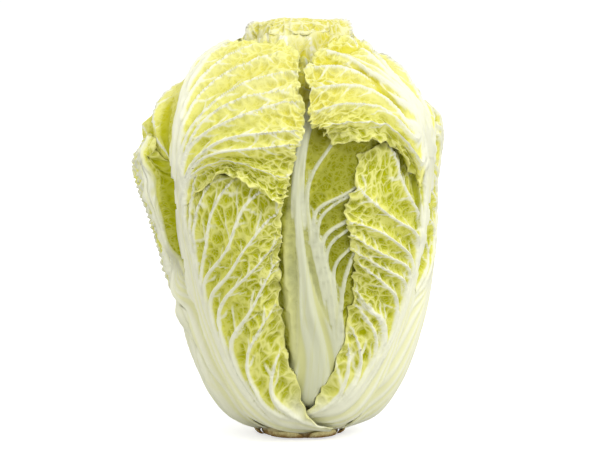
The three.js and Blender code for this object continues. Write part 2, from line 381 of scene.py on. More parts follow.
@dataclass(frozen=True)
class VeinPlan:
    """How a leaf's veins run: a midrib, laterals that leave it, and branches off those.

    The laterals run up beside the midrib from the leaf's foot, in its white petiole, and
    each leaves it at a climb of its own and turns to a heading of its own.
    """

    laterals: int = 11  # on each side, where no courses are given
    lowest: float = -66.0  # climb where the first lateral leaves the petiole
    highest: float = 0.86  # share of the leaf's length where the last one leaves
    left: tuple[tuple[float, float], ...] = ()  # climb where each leaves, and its heading
    right: tuple[tuple[float, float], ...] = ()
    petiole: tuple[float, ...] = (17.0, 13.0, 9.0, 7.5, 6.5, 4.0, 3.0, 2.0)  # half swings, foot to tip
    branch_gap: float = 10.0
    branch_length: float = 16.0
    stout: float = 1.0  # how wide and high the laterals are
    bare: tuple[float, ...] = (1.0, 1.0)  # share of the petiole that is white flesh, foot to tip
    veil: tuple[float, ...] = (0.0, 0.0)  # how white the rest of it is
    bend: tuple[float, float] = (22.0, 36.0)  # millimetres over which a lateral turns to its heading
    lane: float = 0.2  # share of the leaf's length over which a lateral runs up in the petiole

    def petiole_half(self, v: Array) -> Array:
        """Half the white petiole's swing at each share of the leaf's length."""
        return spline(self.petiole, v)

    def courses(self, leaf: "LeafPlan", side: Side) -> list[tuple[float, float]]:
        """Where the laterals of one side leave the petiole.

        Args:
            leaf: The leaf that they are on.
            side: The side.

        Returns:
            The share of the leaf's length where each leaves, and its heading.
        """
        given = self.left if side is Side.LEFT else self.right
        if given:
            return [((climb - leaf.foot) / (leaf.tip - leaf.foot), heading) for climb, heading in given]
        low = (self.lowest - leaf.foot) / (leaf.tip - leaf.foot)
        shares = low + (self.highest - low) * np.linspace(0, 1, self.laterals) ** 1.1
        return [(share, 8 + 54 * (1 - share) ** 0.6) for share in shares]

    def draw(self, leaf: "LeafPlan") -> VeinSet:
        """Draws the veins of one leaf on its flat blade.

        Args:
            leaf: The leaf that they are for.

        Returns:
            The veins.
        """
        veins = VeinSet()
        chance = np.random.default_rng(leaf.seed)
        t = np.linspace(0, 1, 120)
        veins.add(leaf.beside_midrib(0.0, t), 0.6 + 3.0 * (1 - t), 1.9 * (1 - t**3), Level.MIDRIB)
        for side in Side:
            for share, heading in self.courses(leaf, side):
                start = share + 0.008 * chance.uniform(-1, 1)
                self._lateral(veins, leaf, side, start, heading * chance.uniform(0.93, 1.07), chance)
        return veins

    def _lateral(
        self,
        veins: VeinSet,
        leaf: "LeafPlan",
        side: Side,
        start: float,
        heading: float,
        chance: np.random.Generator,
    ) -> None:
        """Draws one lateral from the leaf's foot to its margin, with its branches.

        Args:
            veins: The veins that it is added to.
            leaf: The leaf.
            side: The half of the blade that it is on.
            start: The share of the leaf's length where it leaves the petiole.
            heading: The way it turns to, in degrees from straight up.
            chance: Random numbers for its waves and its strength.
        """
        lane_v = np.linspace(max(0.0, start - self.lane), start, 60)
        share = 1 - 0.85 * ((start - lane_v) / (1 - lane_v)) ** 0.7
        lane = leaf.beside_midrib(side.value * share * self.petiole_half(lane_v), lane_v)
        ahead = lane[-1] - lane[-4]
        first = math.degrees(math.atan2(side.value * ahead[0], ahead[1]))
        bend, phase = chance.uniform(*self.bend), chance.uniform(0, math.tau)
        line, place = [], lane[-1]
        for step in range(130):
            turned = first + (heading - first) * float(smoothstep(step, 0, bend))
            way = math.radians(turned + 8 * math.sin(step / 10 + phase))
            place = place + np.array([side.value * math.sin(way), math.cos(way)])
            if leaf.off_blade(side, place, start):
                break
            line.append(place)
        if len(line) < 6:
            return
        strength = self.stout * chance.uniform(0.85, 1.15)
        t = np.linspace(0, 1, len(line))
        grown = np.linspace(0, 1, len(lane_v))
        half = np.concatenate([1.3 + 0.5 * grown, 1.8 - 1.3 * t**0.75]) * strength
        rise = np.concatenate([1.4 * smoothstep(grown, 0, 0.8), 1.4 - 1.15 * t**1.3]) * strength
        veins.add(np.concatenate([lane, line]), half, rise, Level.LATERAL)
        self._branches(veins, np.array(line), chance)

    def _branches(self, veins: VeinSet, line: Array, chance: np.random.Generator) -> None:
        """Draws the branches of a lateral, on alternate sides of it.

        Args:
            veins: The veins that they are added to.
            line: The points of the lateral outside the petiole, a millimetre apart.
            chance: Random numbers for their lengths and bends.
        """
        place, turn = 4.0 + 5 * chance.random(), 1.0
        while place < len(line) - 3:
            i = int(place)
            share = place / len(line)
            ahead = math.atan2(*(line[i + 1] - line[i - 1])[::-1])
            lean = turn * math.radians(chance.uniform(32, 52))
            length = self.branch_length * chance.uniform(0.6, 1.5) * (1 - 0.3 * share)
            s = np.linspace(0, 1, 18)
            heading = ahead + lean * (1 - 0.3 * s) + 0.3 * np.sin(s * 5 + chance.uniform(0, 6))
            steps = np.column_stack([np.cos(heading), np.sin(heading)])
            path = line[i] + np.cumsum(steps, axis=0) * length / len(s)
            strength = chance.uniform(0.75, 1.15)
            veins.add(path, (1.15 - 0.3 * s) * strength, 0.75 * (1 - s) * strength, Level.BRANCH)
            place += self.branch_gap * chance.uniform(0.55, 1.25) * (1 - 0.3 * share)
            turn = -turn


# ---- Leaves --------------------------------------------------------------------------------
@dataclass(frozen=True)
class Pleat:
    """A pleat from a leaf's margin inwards: its upper panel hangs free over its lower panel.

    Climbs are degrees from the row where the blade parts, and heights millimetres.
    """

    side: Side
    row: float  # share of the leaf's length at which the blade parts
    inner: float  # share of the half width where the pleat begins
    lip: tuple[float, ...]  # climb of the upper panel's edge, from the pleat's inner end to the margin
    lip_height: float = 7.0
    lip_reach: float = 0.16  # share of the leaf's length over which the upper panel stands off
    tuck: float = 13.0  # how far the lower panel climbs in under the upper one
    tuck_depth: float = 1.5
    tuck_reach: float = 0.12  # share of the leaf's length over which the lower panel is drawn up
    pull: float = 0.0  # how much narrower the lower panel is at the pleat


@dataclass(frozen=True)
class Crease:
    """A groove or, where its depth is negative, a ridge along a line on the blade."""

    path: tuple[tuple[float, float, float], ...]  # swing, climb and depth at each corner
    width: float
    tint: float = 1.0  # how strongly painted shade darkens the groove, or painted light pales the ridge

    def depth(self, swing: Array, climb: Array) -> Array:
        """How deep the crease lies.

        Args:
            swing: Swing of each point.
            climb: Climb of each point.

        Returns:
            Its depth at each point.
        """
        place = np.stack([swing, climb], -1)
        nearest = np.full(swing.shape, np.inf)
        deep = np.zeros(swing.shape)
        for start, end in zip(self.path, self.path[1:]):
            foot, span = np.array(start[:2]), np.subtract(end[:2], start[:2])
            t = np.clip((place - foot) @ span / (span @ span), 0, 1)
            away = np.linalg.norm(place - foot - t[..., None] * span, axis=-1)
            deep = np.where(away < nearest, start[2] + (end[2] - start[2]) * t, deep)
            nearest = np.minimum(nearest, away)
        return deep * bell(nearest / self.width)


@dataclass(frozen=True)
class LeafPlan:
    """Where one leaf lies on the head, and the shape of its blade."""

    name: str
    azimuth: float
    foot: float
    tip: float
    drop: float  # how far the tip's corners are rounded off
    lean: tuple[float, ...]  # swings of the midrib at equal steps from foot to tip
    left: tuple[float, ...]  # and of the two margins
    right: tuple[float, ...]
    spacing: float = 1.2  # between points of the fine blade
    seed: int = 1
    grid: tuple[int, int] = (10, 14)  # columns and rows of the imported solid's blade
    pleat: Pleat | None = None
    creases: tuple[Crease, ...] = ()
    veins: VeinPlan = VeinPlan()
    ruffle: float = 3.0
    frill: tuple[float, ...] = (0.0, 0.5, 1.0, 1.0, 1.0, 1.0)  # depth of the margins' notches, foot to tip
    hug: tuple[float, ...] = (1.0, 1.0, 0.8, 0.3, 0.0, 0.0)  # how far the margins close on the leaf beneath
    tip_hug: float = 0.0  # and its tip
    sag: float = 0.0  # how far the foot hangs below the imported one, down to the leaf outside it
    inset: tuple[float, ...] = (0.0, 0.0)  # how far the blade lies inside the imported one, foot to tip
    smooth_side: Side | None = None  # a half whose margin is neither notched nor ruffled, and closes fully
    press: float = 0.3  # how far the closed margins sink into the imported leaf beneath
    lobe: float = 0.0  # how far the tip's corners reach on
    ridges: float = 4.5  # along each half of the petiole
    slot: Slot = Slot.WRAPPER
    look: Look = Look.WRAPPER

    def margin(self, side: Side, v: Array) -> Array:
        """Swing of one margin at shares v of the leaf's length, without its sign."""
        return spline(self.left if side is Side.LEFT else self.right, v)

    def climb(self, u: Array, v: Array) -> Array:
        """Climb at u from margin (-1) to margin (1) and v from foot (0) to tip (1)."""
        corners = self.lobe * v**6 * bell((np.abs(u) - 0.75) / 0.45) - self.drop * v**4 * u * u
        return self.row_climb(self.swing(u, v), v) + corners

    def row_climb(self, swing: Array, v: Array) -> Array:
        """Climb at a swing in the row at share v of the leaf's length, before the tip is rounded."""
        return self.foot + (self.tip - self.foot) * v - foot_dip(self.foot, swing) * (1 - v) ** 8

    def swing(self, u: Array, v: Array) -> Array:
        """Swing at a place of the blade.

        Args:
            u: From margin (-1) to margin (1).
            v: From foot (0) to tip (1).

        Returns:
            The swing.
        """
        edge = np.where(u < 0, -self.margin(Side.LEFT, v), self.margin(Side.RIGHT, v))
        middle = spline(self.lean, v)
        return middle + (edge - middle) * np.abs(u)

    def flat(self, u: Array, v: Array) -> Array:
        """Places on the flat blade at u and v."""
        return np.stack([self.swing(u, v), self.climb(u, v)], -1) * FLAT_MM

    def beside_midrib(self, away: Array | float, v: Array) -> Array:
        """Places on the flat blade at swings away from the midrib, at shares v of the length."""
        swing = spline(self.lean, v) + away
        return np.stack([swing, self.row_climb(swing, v)], -1) * FLAT_MM

    def off_blade(self, side: Side, place: Array, start: float) -> bool:
        """Whether a place that a vein has come to lies off its panel of the flat blade.

        Args:
            side: The half of the blade that the vein runs on.
            place: The place.
            start: The share of the leaf's length at which the vein left the petiole.

        Returns:
            True where the vein has to stop.
        """
        swing, climb = place / FLAT_MM
        v = np.array((climb - self.foot) / (self.tip - self.foot))
        if v > 0.99 or side.value * swing > float(self.margin(side, v)) + 0.5:
            return True
        pleat = self.pleat
        if pleat is None or pleat.side is not side or start > pleat.row:
            return False
        return bool(v > pleat.row and side.value * swing > 0.9 * pleat.inner * float(self.margin(side, v)))


@dataclass
class BladeGrid:
    """Points of a blade in rows from its foot to its tip, with the pleat's row doubled.

    Points of the doubled row are one and the same outside the pleat.
    """

    u: Array
    v: Array
    parted_row: int | None = None
    parted: Array | None = None

    @classmethod
    def spread(cls, plan: LeafPlan) -> "BladeGrid":
        """Lays a grid over a leaf's blade.

        Args:
            plan: The leaf's plan, which says how far apart the points are.

        Returns:
            The grid.
        """
        shares = np.linspace(0, 1, 9)
        half = 0.5 * (plan.margin(Side.LEFT, shares) + plan.margin(Side.RIGHT, shares))
        columns = 2 * round(float(half.max()) * FLAT_MM / plan.spacing)
        rows = 2 * round((plan.tip - plan.foot) * FLAT_MM / plan.spacing / 2)
        u = np.linspace(-1, 1, columns + 1)
        v = np.linspace(0, 1, rows + 1)
        if plan.pleat is None:
            return cls(*np.meshgrid(u, v))
        row = 2 * round(plan.pleat.row * rows / 2)
        u, v = np.meshgrid(u, np.concatenate([v[: row + 1], v[row:]]))
        return cls(u, v, row, plan.pleat.side.value * u[row] > plan.pleat.inner)

    def numbers(self) -> Array:
        """Numbers the vertices, with one vertex for the two points of an unparted place.

        Returns:
            The number of each grid point's vertex.
        """
        number = np.arange(self.u.size).reshape(self.u.shape)
        if self.parted_row is None:
            return number
        same = ~self.parted
        number[self.parted_row + 1, same] = number[self.parted_row, same]
        _, packed = np.unique(number, return_inverse=True)
        return packed.reshape(number.shape)

    def panels(self) -> list[slice]:
        """Divides the grid at the pleat.

        Returns:
            The rows of each panel.
        """
        if self.parted_row is None:
            return [slice(0, len(self.u))]
        return [slice(0, self.parted_row + 1), slice(self.parted_row + 1, len(self.u))]


@dataclass
class PackedHead:
    """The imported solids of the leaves, for the visible leaves to be fitted to."""

    names: list[str]  # outermost first
    trees: list[BVHTree] = field(default_factory=list, init=False)
    hollow: float = 3.0  # depth taken where nothing lies beneath a leaf

    def __post_init__(self) -> None:
        """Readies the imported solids, with the head's bulge taken out."""
        for name in self.names:
            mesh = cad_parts[name].data
            points = vertices(mesh) / MM
            points[:, 0] -= bulge(points[:, 2])
            faces = [tuple(face.vertices) for face in mesh.polygons]
            self.trees.append(BVHTree.FromPolygons(points.tolist(), faces))

    @staticmethod
    def _cast(tree: BVHTree, toward: Array, reach: float) -> float:
        """Distance from the heart to the first face met on the way in from a reach, or nan."""
        hit = tree.ray_cast(Vector(HEART + toward * reach), Vector(-toward), reach)
        return math.nan if hit[3] is None else reach - hit[3]

    def outer(self, name: str, toward: Array) -> Array:
        """Distances from the heart to a leaf's outer face.

        Args:
            name: The leaf's name.
            toward: A grid of directions.

        Returns:
            The distance along each direction, and where one misses the leaf, that of its neighbour.
        """
        tree = self.trees[self.names.index(name)]
        reach = np.full(toward.shape[:-1], np.nan)
        for place in np.ndindex(reach.shape):
            reach[place] = self._cast(tree, toward[place], OUTSIDE)
        known = np.argwhere(~np.isnan(reach))
        for place in np.argwhere(np.isnan(reach)):
            nearest = known[np.abs(known - place).sum(1).argmin()]
            reach[tuple(place)] = reach[tuple(nearest)]
        return reach

    def beneath(self, name: str, toward: Array, reach: Array) -> Array:
        """Distances from the heart to the next leaf inside a leaf.

        Args:
            name: The leaf's name.
            toward: A grid of directions.
            reach: Distances to the leaf's own outer face.

        Returns:
            The distance along each direction.
        """
        inner = np.zeros(reach.shape)
        for tree in self.trees[self.names.index(name) + 1 :]:
            for place in np.ndindex(reach.shape):
                found = self._cast(tree, toward[place], reach[place])
                inner[place] = max(inner[place], 0.0 if math.isnan(found) else found)
        return np.where(inner > 0, inner, reach - self.hollow)


@dataclass
class Leaf:
    """One leaf of the head: its sheet, its relief and its final mesh."""

    plan: LeafPlan
    head: PackedHead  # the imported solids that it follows
    relief: "LeafRelief"
    finish: bpy.types.Material
    grid: BladeGrid = field(init=False)
    closing: float = 11.0  # millimetres in from a margin over which it closes on the leaf beneath
    smooth_closing: float = 7.0
    free_foot: float = 0.15  # share of the length over which a smooth margin comes to close
    notch_reach: float = 7.0  # millimetres in from an edge over which its notches fade
    sagging: float = 0.19  # share of the length over which a foot sags
    unedged: float = 60.0  # distance to a margin that gets no ruffle or rim
    cream_reach: float = 16.0  # millimetres from the petiole over which cream turns to green
    fold_depth: float = 2.5  # depth of a crease at which its painted shade is full
    pleat_shadow_share: float = 0.35  # how strongly painted shadow darkens the panel under a pleat
    inside_edge: float = 0.999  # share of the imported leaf's breadth and length that is measured
    ray_start: float = 0.35  # share of a point's distance from the heart, from where room is looked for
    slope_rounds: int = 14  # points over which pressing down spreads

    def __post_init__(self) -> None:
        """Lays the fine grid over the blade."""
        self.grid = BladeGrid.spread(self.plan)

    def _solid_faces(self) -> tuple[Array, Array]:
        """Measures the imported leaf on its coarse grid, and draws the fine grid smoothly through that.

        Returns:
            Distances from the heart to the leaf's outer face, and to the leaf beneath it.
        """
        columns, rows = self.plan.grid
        u, v = np.meshgrid(np.linspace(-1, 1, columns + 1), np.linspace(0, 1, rows + 1))
        u, v = u * self.inside_edge, 0.5 + (v - 0.5) * self.inside_edge
        toward = directions(self.plan.azimuth, self.plan.climb(u, v), self.plan.swing(u, v))
        outer = self.head.outer(self.plan.name, toward)
        inner = self.head.beneath(self.plan.name, toward, outer)
        across, up = (self.grid.u[0] + 1) / 2, self.grid.v[:, 0]
        outer, inner = (spline(spline(coarse, up).T, across).T for coarse in (outer, inner))
        return outer, inner

    def sheet(self) -> Array:
        """Shapes the smooth sheet that the leaf's relief is pressed into.

        Returns:
            The sheet's points.
        """
        plan, u, v = self.plan, self.grid.u, self.grid.v
        reach, beneath = self._solid_faces()
        climb, swing = plan.climb(u, v), plan.swing(u, v)
        hug = np.where(self._smooth(), smoothstep(v, 0.0, self.free_foot), spline(plan.hug, v))
        width = np.where(self._smooth(), self.smooth_closing, self.closing)
        closed = hug * bell(self.side_distance() / width)
        closed = np.maximum(closed, plan.tip_hug * bell(self.tip_distance() / self.closing))
        reach = reach - closed * np.maximum(reach - beneath + plan.press, 0)
        reach = reach + plan.sag * (1 - smoothstep(v, 0, self.sagging)) - spline(plan.inset, v)
        for crease in plan.creases:
            reach = reach - crease.depth(swing, climb)
        climb, swing = self._frill(climb, swing)
        if plan.pleat is not None:
            reach, climb, swing = self._pleat(plan.pleat, reach, climb, swing)
        return HEART + directions(plan.azimuth, climb, swing) * reach[..., None]

    def side_distance(self) -> Array:
        """Measures across the flat blade.

        Returns:
            Distance of each point from the nearer side margin, in millimetres.
        """
        plan, u, v = self.plan, self.grid.u, self.grid.v
        middle = spline(plan.lean, v)
        left, right = plan.margin(Side.LEFT, v) + middle, plan.margin(Side.RIGHT, v) - middle
        return np.where(u < 0, left, right) * FLAT_MM * (1 - np.abs(u))

    def tip_distance(self) -> Array:
        """Distance of each point on the flat blade from the tip, in millimetres."""
        return (1 - self.grid.v) * (self.plan.tip - self.plan.foot) * FLAT_MM

    def _smooth(self) -> Array:
        """Where the blade belongs to a half with a smooth margin."""
        side = self.plan.smooth_side
        return np.zeros(self.grid.u.shape, bool) if side is None else side.value * self.grid.u > 0

    def _frill(self, climb: Array, swing: Array) -> tuple[Array, Array]:
        """Notches the side margins and the tip.

        Args:
            climb: Climb of each point.
            swing: Swing of each point.

        Returns:
            The new climbs and swings.
        """
        plan, u, v = self.plan, self.grid.u, self.grid.v
        chance = np.random.default_rng(100 + plan.seed)
        up = (climb - plan.foot) * FLAT_MM
        side = np.where(u < 0, -notches(up, chance), notches(up, chance))
        side = side * np.exp(-self.side_distance() / self.notch_reach) * ~self._smooth()
        tip = notches(swing * FLAT_MM, chance) * np.exp(-self.tip_distance() / self.notch_reach)
        depth = spline(plan.frill, v) / FLAT_MM
        return climb + depth * tip, swing + depth * side

    def _pleat(self, pleat: Pleat, reach: Array, climb: Array, swing: Array) -> tuple[Array, Array, Array]:
        """Parts the blade at its pleat, and hangs the upper panel over the lower one.

        Args:
            pleat: The pleat.
            reach: Distance of each point from the heart.
            climb: Climb of each point.
            swing: Swing of each point.

        Returns:
            The new distances, climbs and swings.
        """
        outward, v = pleat.side.value * self.grid.u, self.grid.v
        across = np.clip((outward - pleat.inner) / (1 - pleat.inner), 0, 1)
        open_by = smoothstep(outward, pleat.inner - 0.02, pleat.inner + 0.45 * (1 - pleat.inner))
        upper = np.arange(len(v))[:, None] > self.grid.parted_row
        far = np.abs(v - pleat.row)
        above = 1 - smoothstep(far, 0, pleat.lip_reach)
        below = 1 - smoothstep(far, 0, pleat.tuck_reach)
        lip = spline(pleat.lip, across)
        chance = np.random.default_rng(200 + self.plan.seed)
        lip = lip + open_by * notches(swing * FLAT_MM, chance) / FLAT_MM
        shift = np.where(upper, lip * above, pleat.tuck * below)
        climb = climb + shift * smoothstep(outward, pleat.inner - 0.09, pleat.inner + 0.05)
        height = np.where(upper, pleat.lip_height * above**1.5, -pleat.tuck_depth * below)
        narrow = np.where(upper, 0.0, pleat.pull * below) * (outward > 0)
        return reach + height * open_by, climb, swing * (1 - narrow)

    def margin_distance(self) -> Array:
        """Measures to the free edges on the flat blade; the foot is none of them.

        Returns:
            Distance of each point from the nearest free edge, in millimetres.
        """
        plan, u, v = self.plan, self.grid.u, self.grid.v
        flat = plan.flat(u, v)
        side = np.where(self._smooth(), self.unedged, self.side_distance())
        near = np.minimum(side, self.tip_distance())
        if plan.pleat is not None:
            row = np.abs(flat[..., 1] - flat[self.grid.parted_row, :, 1])
            inward = np.maximum(plan.pleat.inner - plan.pleat.side.value * u, 0) * side.max()
            near = np.minimum(near, np.hypot(row, inward))
        return near

    def painted_fold_shade(self) -> Array:
        """Where shade is painted on the blade: darker in its creases and under its pleat, paler on its
        ridges as painted light.

        Returns:
            How far into a crease each point lies, up to 1, or out on a ridge, down to -1.
        """
        u, v = self.grid.u, self.grid.v
        swing, climb = self.plan.swing(u, v), self.plan.climb(u, v)
        painted_fold_shade = np.zeros(swing.shape)
        for crease in self.plan.creases:
            depth = crease.depth(swing, climb)
            painted_fold_shade = painted_fold_shade + crease.tint * np.clip(depth / self.fold_depth, -1, 1)
        if self.plan.pleat is not None:
            painted_fold_shade = np.maximum(painted_fold_shade, self._painted_pleat_shadow(self.plan.pleat))
        return np.clip(painted_fold_shade, -1, 1)

    def _painted_pleat_shadow(self, pleat: Pleat) -> Array:
        """Paints shadow where the blade lies under the pleat's upper panel.

        Args:
            pleat: The pleat.

        Returns:
            How strongly painted shadow darkens each point.
        """
        u, v = self.grid.u, self.grid.v
        lower = np.arange(len(u))[:, None] <= self.grid.parted_row
        near = 1 - smoothstep(pleat.row - v, 0.02, pleat.tuck_reach)
        inside = smoothstep(pleat.side.value * u, pleat.inner - 0.1, pleat.inner + 0.1)
        return self.pleat_shadow_share * near * lower * inside

    def build(self, above: list[BVHTree]) -> bpy.types.Object:
        """Builds the leaf under the leaves that are already laid.

        Args:
            above: The inner faces of the leaves outside this one. This leaf's is added.

        Returns:
            The leaf, riding on the head.
        """
        numbers = self.grid.numbers()
        count = numbers.max() + 1
        coarse, quads, inner_quads, rim = self._shell_faces(numbers, count)
        data = {}
        for name, field_values in self._fields(self.sheet()).items():
            values = self._by_number(field_values, numbers, count)
            data[name] = np.concatenate([values, values[coarse]])
        data["inside"] = np.concatenate([np.zeros(count), np.ones(len(coarse))])
        piece = mesh_object(self.plan.name + "_leaf", data["place"] * MM, quads + inner_quads + rim)
        for name in ("flat", "lift", "margin", "white", "lane", "cream", "painted_fold_shade", "inside"):
            add_attribute(piece.data, name, data[name])
        self.relief.press(piece, self.plan, self.finish)
        self._settle(piece, numbers, count, coarse, above)
        above.append(mesh_tree(piece.data, np.array(inner_quads)))
        points = vertices(piece.data)
        points[:, 0] += bulge(points[:, 2] / MM) * MM
        set_vertices(piece.data, points)
        return dress(piece, self.plan.slot, self.plan.name)

    def _fields(self, points: Array) -> dict[str, Array]:
        """Gathers what the relief and the finish need to know at each grid point.

        Args:
            points: The sheet's points.

        Returns:
            Grids of numbers and vectors, by name.
        """
        plan, u, v = self.plan, self.grid.u, self.grid.v
        lift = np.zeros_like(points)
        for panel in self.grid.panels():
            up = np.gradient(points[panel], axis=0)
            across = np.gradient(points[panel], axis=1)
            lift[panel] = unit(np.cross(across, up))
        half = plan.veins.petiole_half(v)
        bare = np.maximum(half * spline(plan.veins.bare, v), 0.01)
        away = plan.swing(u, v) - spline(plan.lean, v)
        swing = np.abs(away)
        flesh = (1 - smoothstep(swing / bare, 0.75, 1.15)) * smoothstep(bare, 0.3, 1.0)
        veil = (1 - smoothstep(swing / half, 0.75, 1.15)) * spline(plan.veins.veil, v)
        flat = plan.flat(u, v)
        flat = np.concatenate([flat, np.zeros(flat.shape[:-1] + (1,))], -1)
        return {
            "place": points,
            "lift": lift,
            "flat": flat,
            "white": np.maximum(flesh, veil),
            "lane": plan.ridges * np.clip(away / half, -2, 2),
            "cream": np.exp(-np.maximum(swing - half, 0) * FLAT_MM / self.cream_reach),
            "margin": self.margin_distance(),
            "painted_fold_shade": self.painted_fold_shade(),
        }

    @staticmethod
    def _by_number(values: Array, numbers: Array, count: int) -> Array:
        """Packs grid values in the order of their vertices.

        Args:
            values: A number or a vector at each grid point.
            numbers: The number of each grid point's vertex.
            count: How many vertices there are.

        Returns:
            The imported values.
        """
        packed = np.zeros((count,) + values.shape[2:])
        packed[numbers] = values
        return packed

    def _shell_faces(self, numbers: Array, count: int) -> tuple[Array, list, list, list]:
        """Faces of the closed shell between the fine outer face and the coarse inner face.

        Args:
            numbers: The outer vertices by row and column.
            count: How many outer vertices there are.

        Returns:
            The outer vertices that have an inner one behind them, the outer faces, the inner
            faces and the faces of the rim between them.
        """
        quads: list[Array] = []
        big: list[Array] = []
        halves: dict[tuple[int, int], int] = {}
        for panel in self.grid.panels():
            n = numbers[panel]
            quads.append(np.stack([n[:-1, :-1], n[:-1, 1:], n[1:, 1:], n[1:, :-1]], -1).reshape(-1, 4))
            m = n[::2, ::2]
            big.append(np.stack([m[:-1, :-1], m[:-1, 1:], m[1:, 1:], m[1:, :-1]], -1).reshape(-1, 4))
            across, up = n[::2, 1::2], n[1::2, ::2]
            for a, b, mid in (
                (m[:, :-1], m[:, 1:], across),
                (m[:-1], m[1:], up),
            ):
                for i, j, k in zip(a.ravel().tolist(), b.ravel().tolist(), mid.ravel().tolist()):
                    halves[i, j] = halves[j, i] = k
        faces = np.concatenate(big)
        coarse, inner_faces = np.unique(faces, return_inverse=True)
        inner = inner_faces.reshape(faces.shape) + count
        behind = dict(zip(coarse.tolist(), range(count, count + len(coarse))))
        edges = np.concatenate([faces[:, [k, (k + 1) % 4]] for k in range(4)])
        known = set(map(tuple, edges.tolist()))
        rim = []
        for a, b in known:
            if (b, a) not in known:
                mid = halves[a, b]
                rim += [(mid, a, behind[a]), (mid, behind[a], behind[b]), (b, mid, behind[b])]
        return coarse, np.concatenate(quads).tolist(), inner[:, ::-1].tolist(), sorted(rim)

    def _settle(
        self, piece: bpy.types.Object, numbers: Array, count: int, coarse: Array, above: list[BVHTree]
    ) -> None:
        """Presses the leaf in under the leaves that lie over it.

        Args:
            piece: The leaf.
            numbers: Its outer vertices by row and column.
            count: How many of them there are.
            coarse: The outer vertices that have an inner one behind them.
            above: The inner faces of the leaves over it.
        """
        if not above:
            return
        place = vertices(piece.data) / MM - HEART
        reach = np.linalg.norm(place, axis=1)
        toward = place / reach[:, None]
        room = np.full(len(place), np.inf)
        for i, way in enumerate(toward[:count]):
            skipped = self.ray_start * reach[i]
            start = Vector((HEART + way * skipped) * MM)
            for tree in above:
                hit = tree.ray_cast(start, Vector(way))
                if hit[3] is not None:
                    room[i] = min(room[i], skipped + hit[3] / MM)
        room = room[:count] - LEAF_CLEARANCE
        grid = room[numbers]
        step = PRESS_SLOPE * self.plan.spacing
        for panel in self.grid.panels():
            part = grid[panel]
            for _ in range(self.slope_rounds):
                wide = np.pad(part, 1, constant_values=np.inf) + step
                near = np.minimum.reduce([wide[:-2, 1:-1], wide[2:, 1:-1], wide[1:-1, :-2], wide[1:-1, 2:]])
                part = np.minimum(part, near)
            grid[panel] = part
        ceiling = self._by_number(grid, numbers, count)
        ceiling = np.concatenate([ceiling, ceiling[coarse]])
        thickness = np.concatenate([np.zeros(count), reach[:count][coarse] - reach[count:]])
        reach = np.minimum(reach, ceiling - np.maximum(thickness, 0))
        set_vertices(piece.data, (HEART + toward * reach[:, None]) * MM)


# ---- Meshes --------------------------------------------------------------------------------
def mesh_object(name: str, points: Array, faces: Sequence[Sequence[int]]) -> bpy.types.Object:
    """Makes a smooth-shaded mesh object at the origin.

    Args:
        name: Its name.
        points: Its points in metres, one row each.
        faces: The numbers of the points round each face.

    Returns:
        The object, in the scene.
    """
    mesh = bpy.data.meshes.new(name)
    mesh.from_pydata(points.tolist(), [], faces)
    mesh.shade_smooth()
    piece = bpy.data.objects.new(name, mesh)
    bpy.context.scene.collection.objects.link(piece)
    return piece


def add_attribute(mesh: bpy.types.Mesh, name: str, values: Array) -> None:
    """Stores numbers or vectors on a mesh's vertices.

    Args:
        mesh: The mesh.
        name: The name to store them under.
        values: One number, or one row of three, for each vertex.
    """
    kind = "FLOAT_VECTOR" if values.ndim == 2 else "FLOAT"
    attribute = mesh.attributes.new(name, kind, "POINT")
    attribute.data.foreach_set("vector" if values.ndim == 2 else "value", values.astype(np.float32).ravel())


def vertices(mesh: bpy.types.Mesh) -> Array:
    """Reads a mesh's points.

    Args:
        mesh: The mesh.

    Returns:
        The points, one row each.
    """
    flat = np.empty(len(mesh.vertices) * 3, np.float32)
    mesh.vertices.foreach_get("co", flat)
    return flat.reshape(-1, 3).astype(float)


def set_vertices(mesh: bpy.types.Mesh, points: Array) -> None:
    """Moves a mesh's points."""
    mesh.vertices.foreach_set("co", points.astype(np.float32).ravel())
    mesh.update()


def mesh_tree(mesh: bpy.types.Mesh, faces: Array) -> BVHTree:
    """A tree of some of a mesh's faces, for rays to be cast at."""
    used, local = np.unique(faces, return_inverse=True)
    return BVHTree.FromPolygons(vertices(mesh)[used].tolist(), local.reshape(faces.shape).tolist())


def dress(piece: bpy.types.Object, slot: Slot, *nodes: str) -> bpy.types.Object:
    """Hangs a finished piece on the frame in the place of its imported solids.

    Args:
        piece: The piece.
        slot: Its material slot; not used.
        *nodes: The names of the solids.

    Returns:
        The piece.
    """
    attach(piece, ROOT)
    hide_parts(*nodes)
    LOG.info("%s: %d faces", piece.name, len(piece.data.polygons))
    return piece


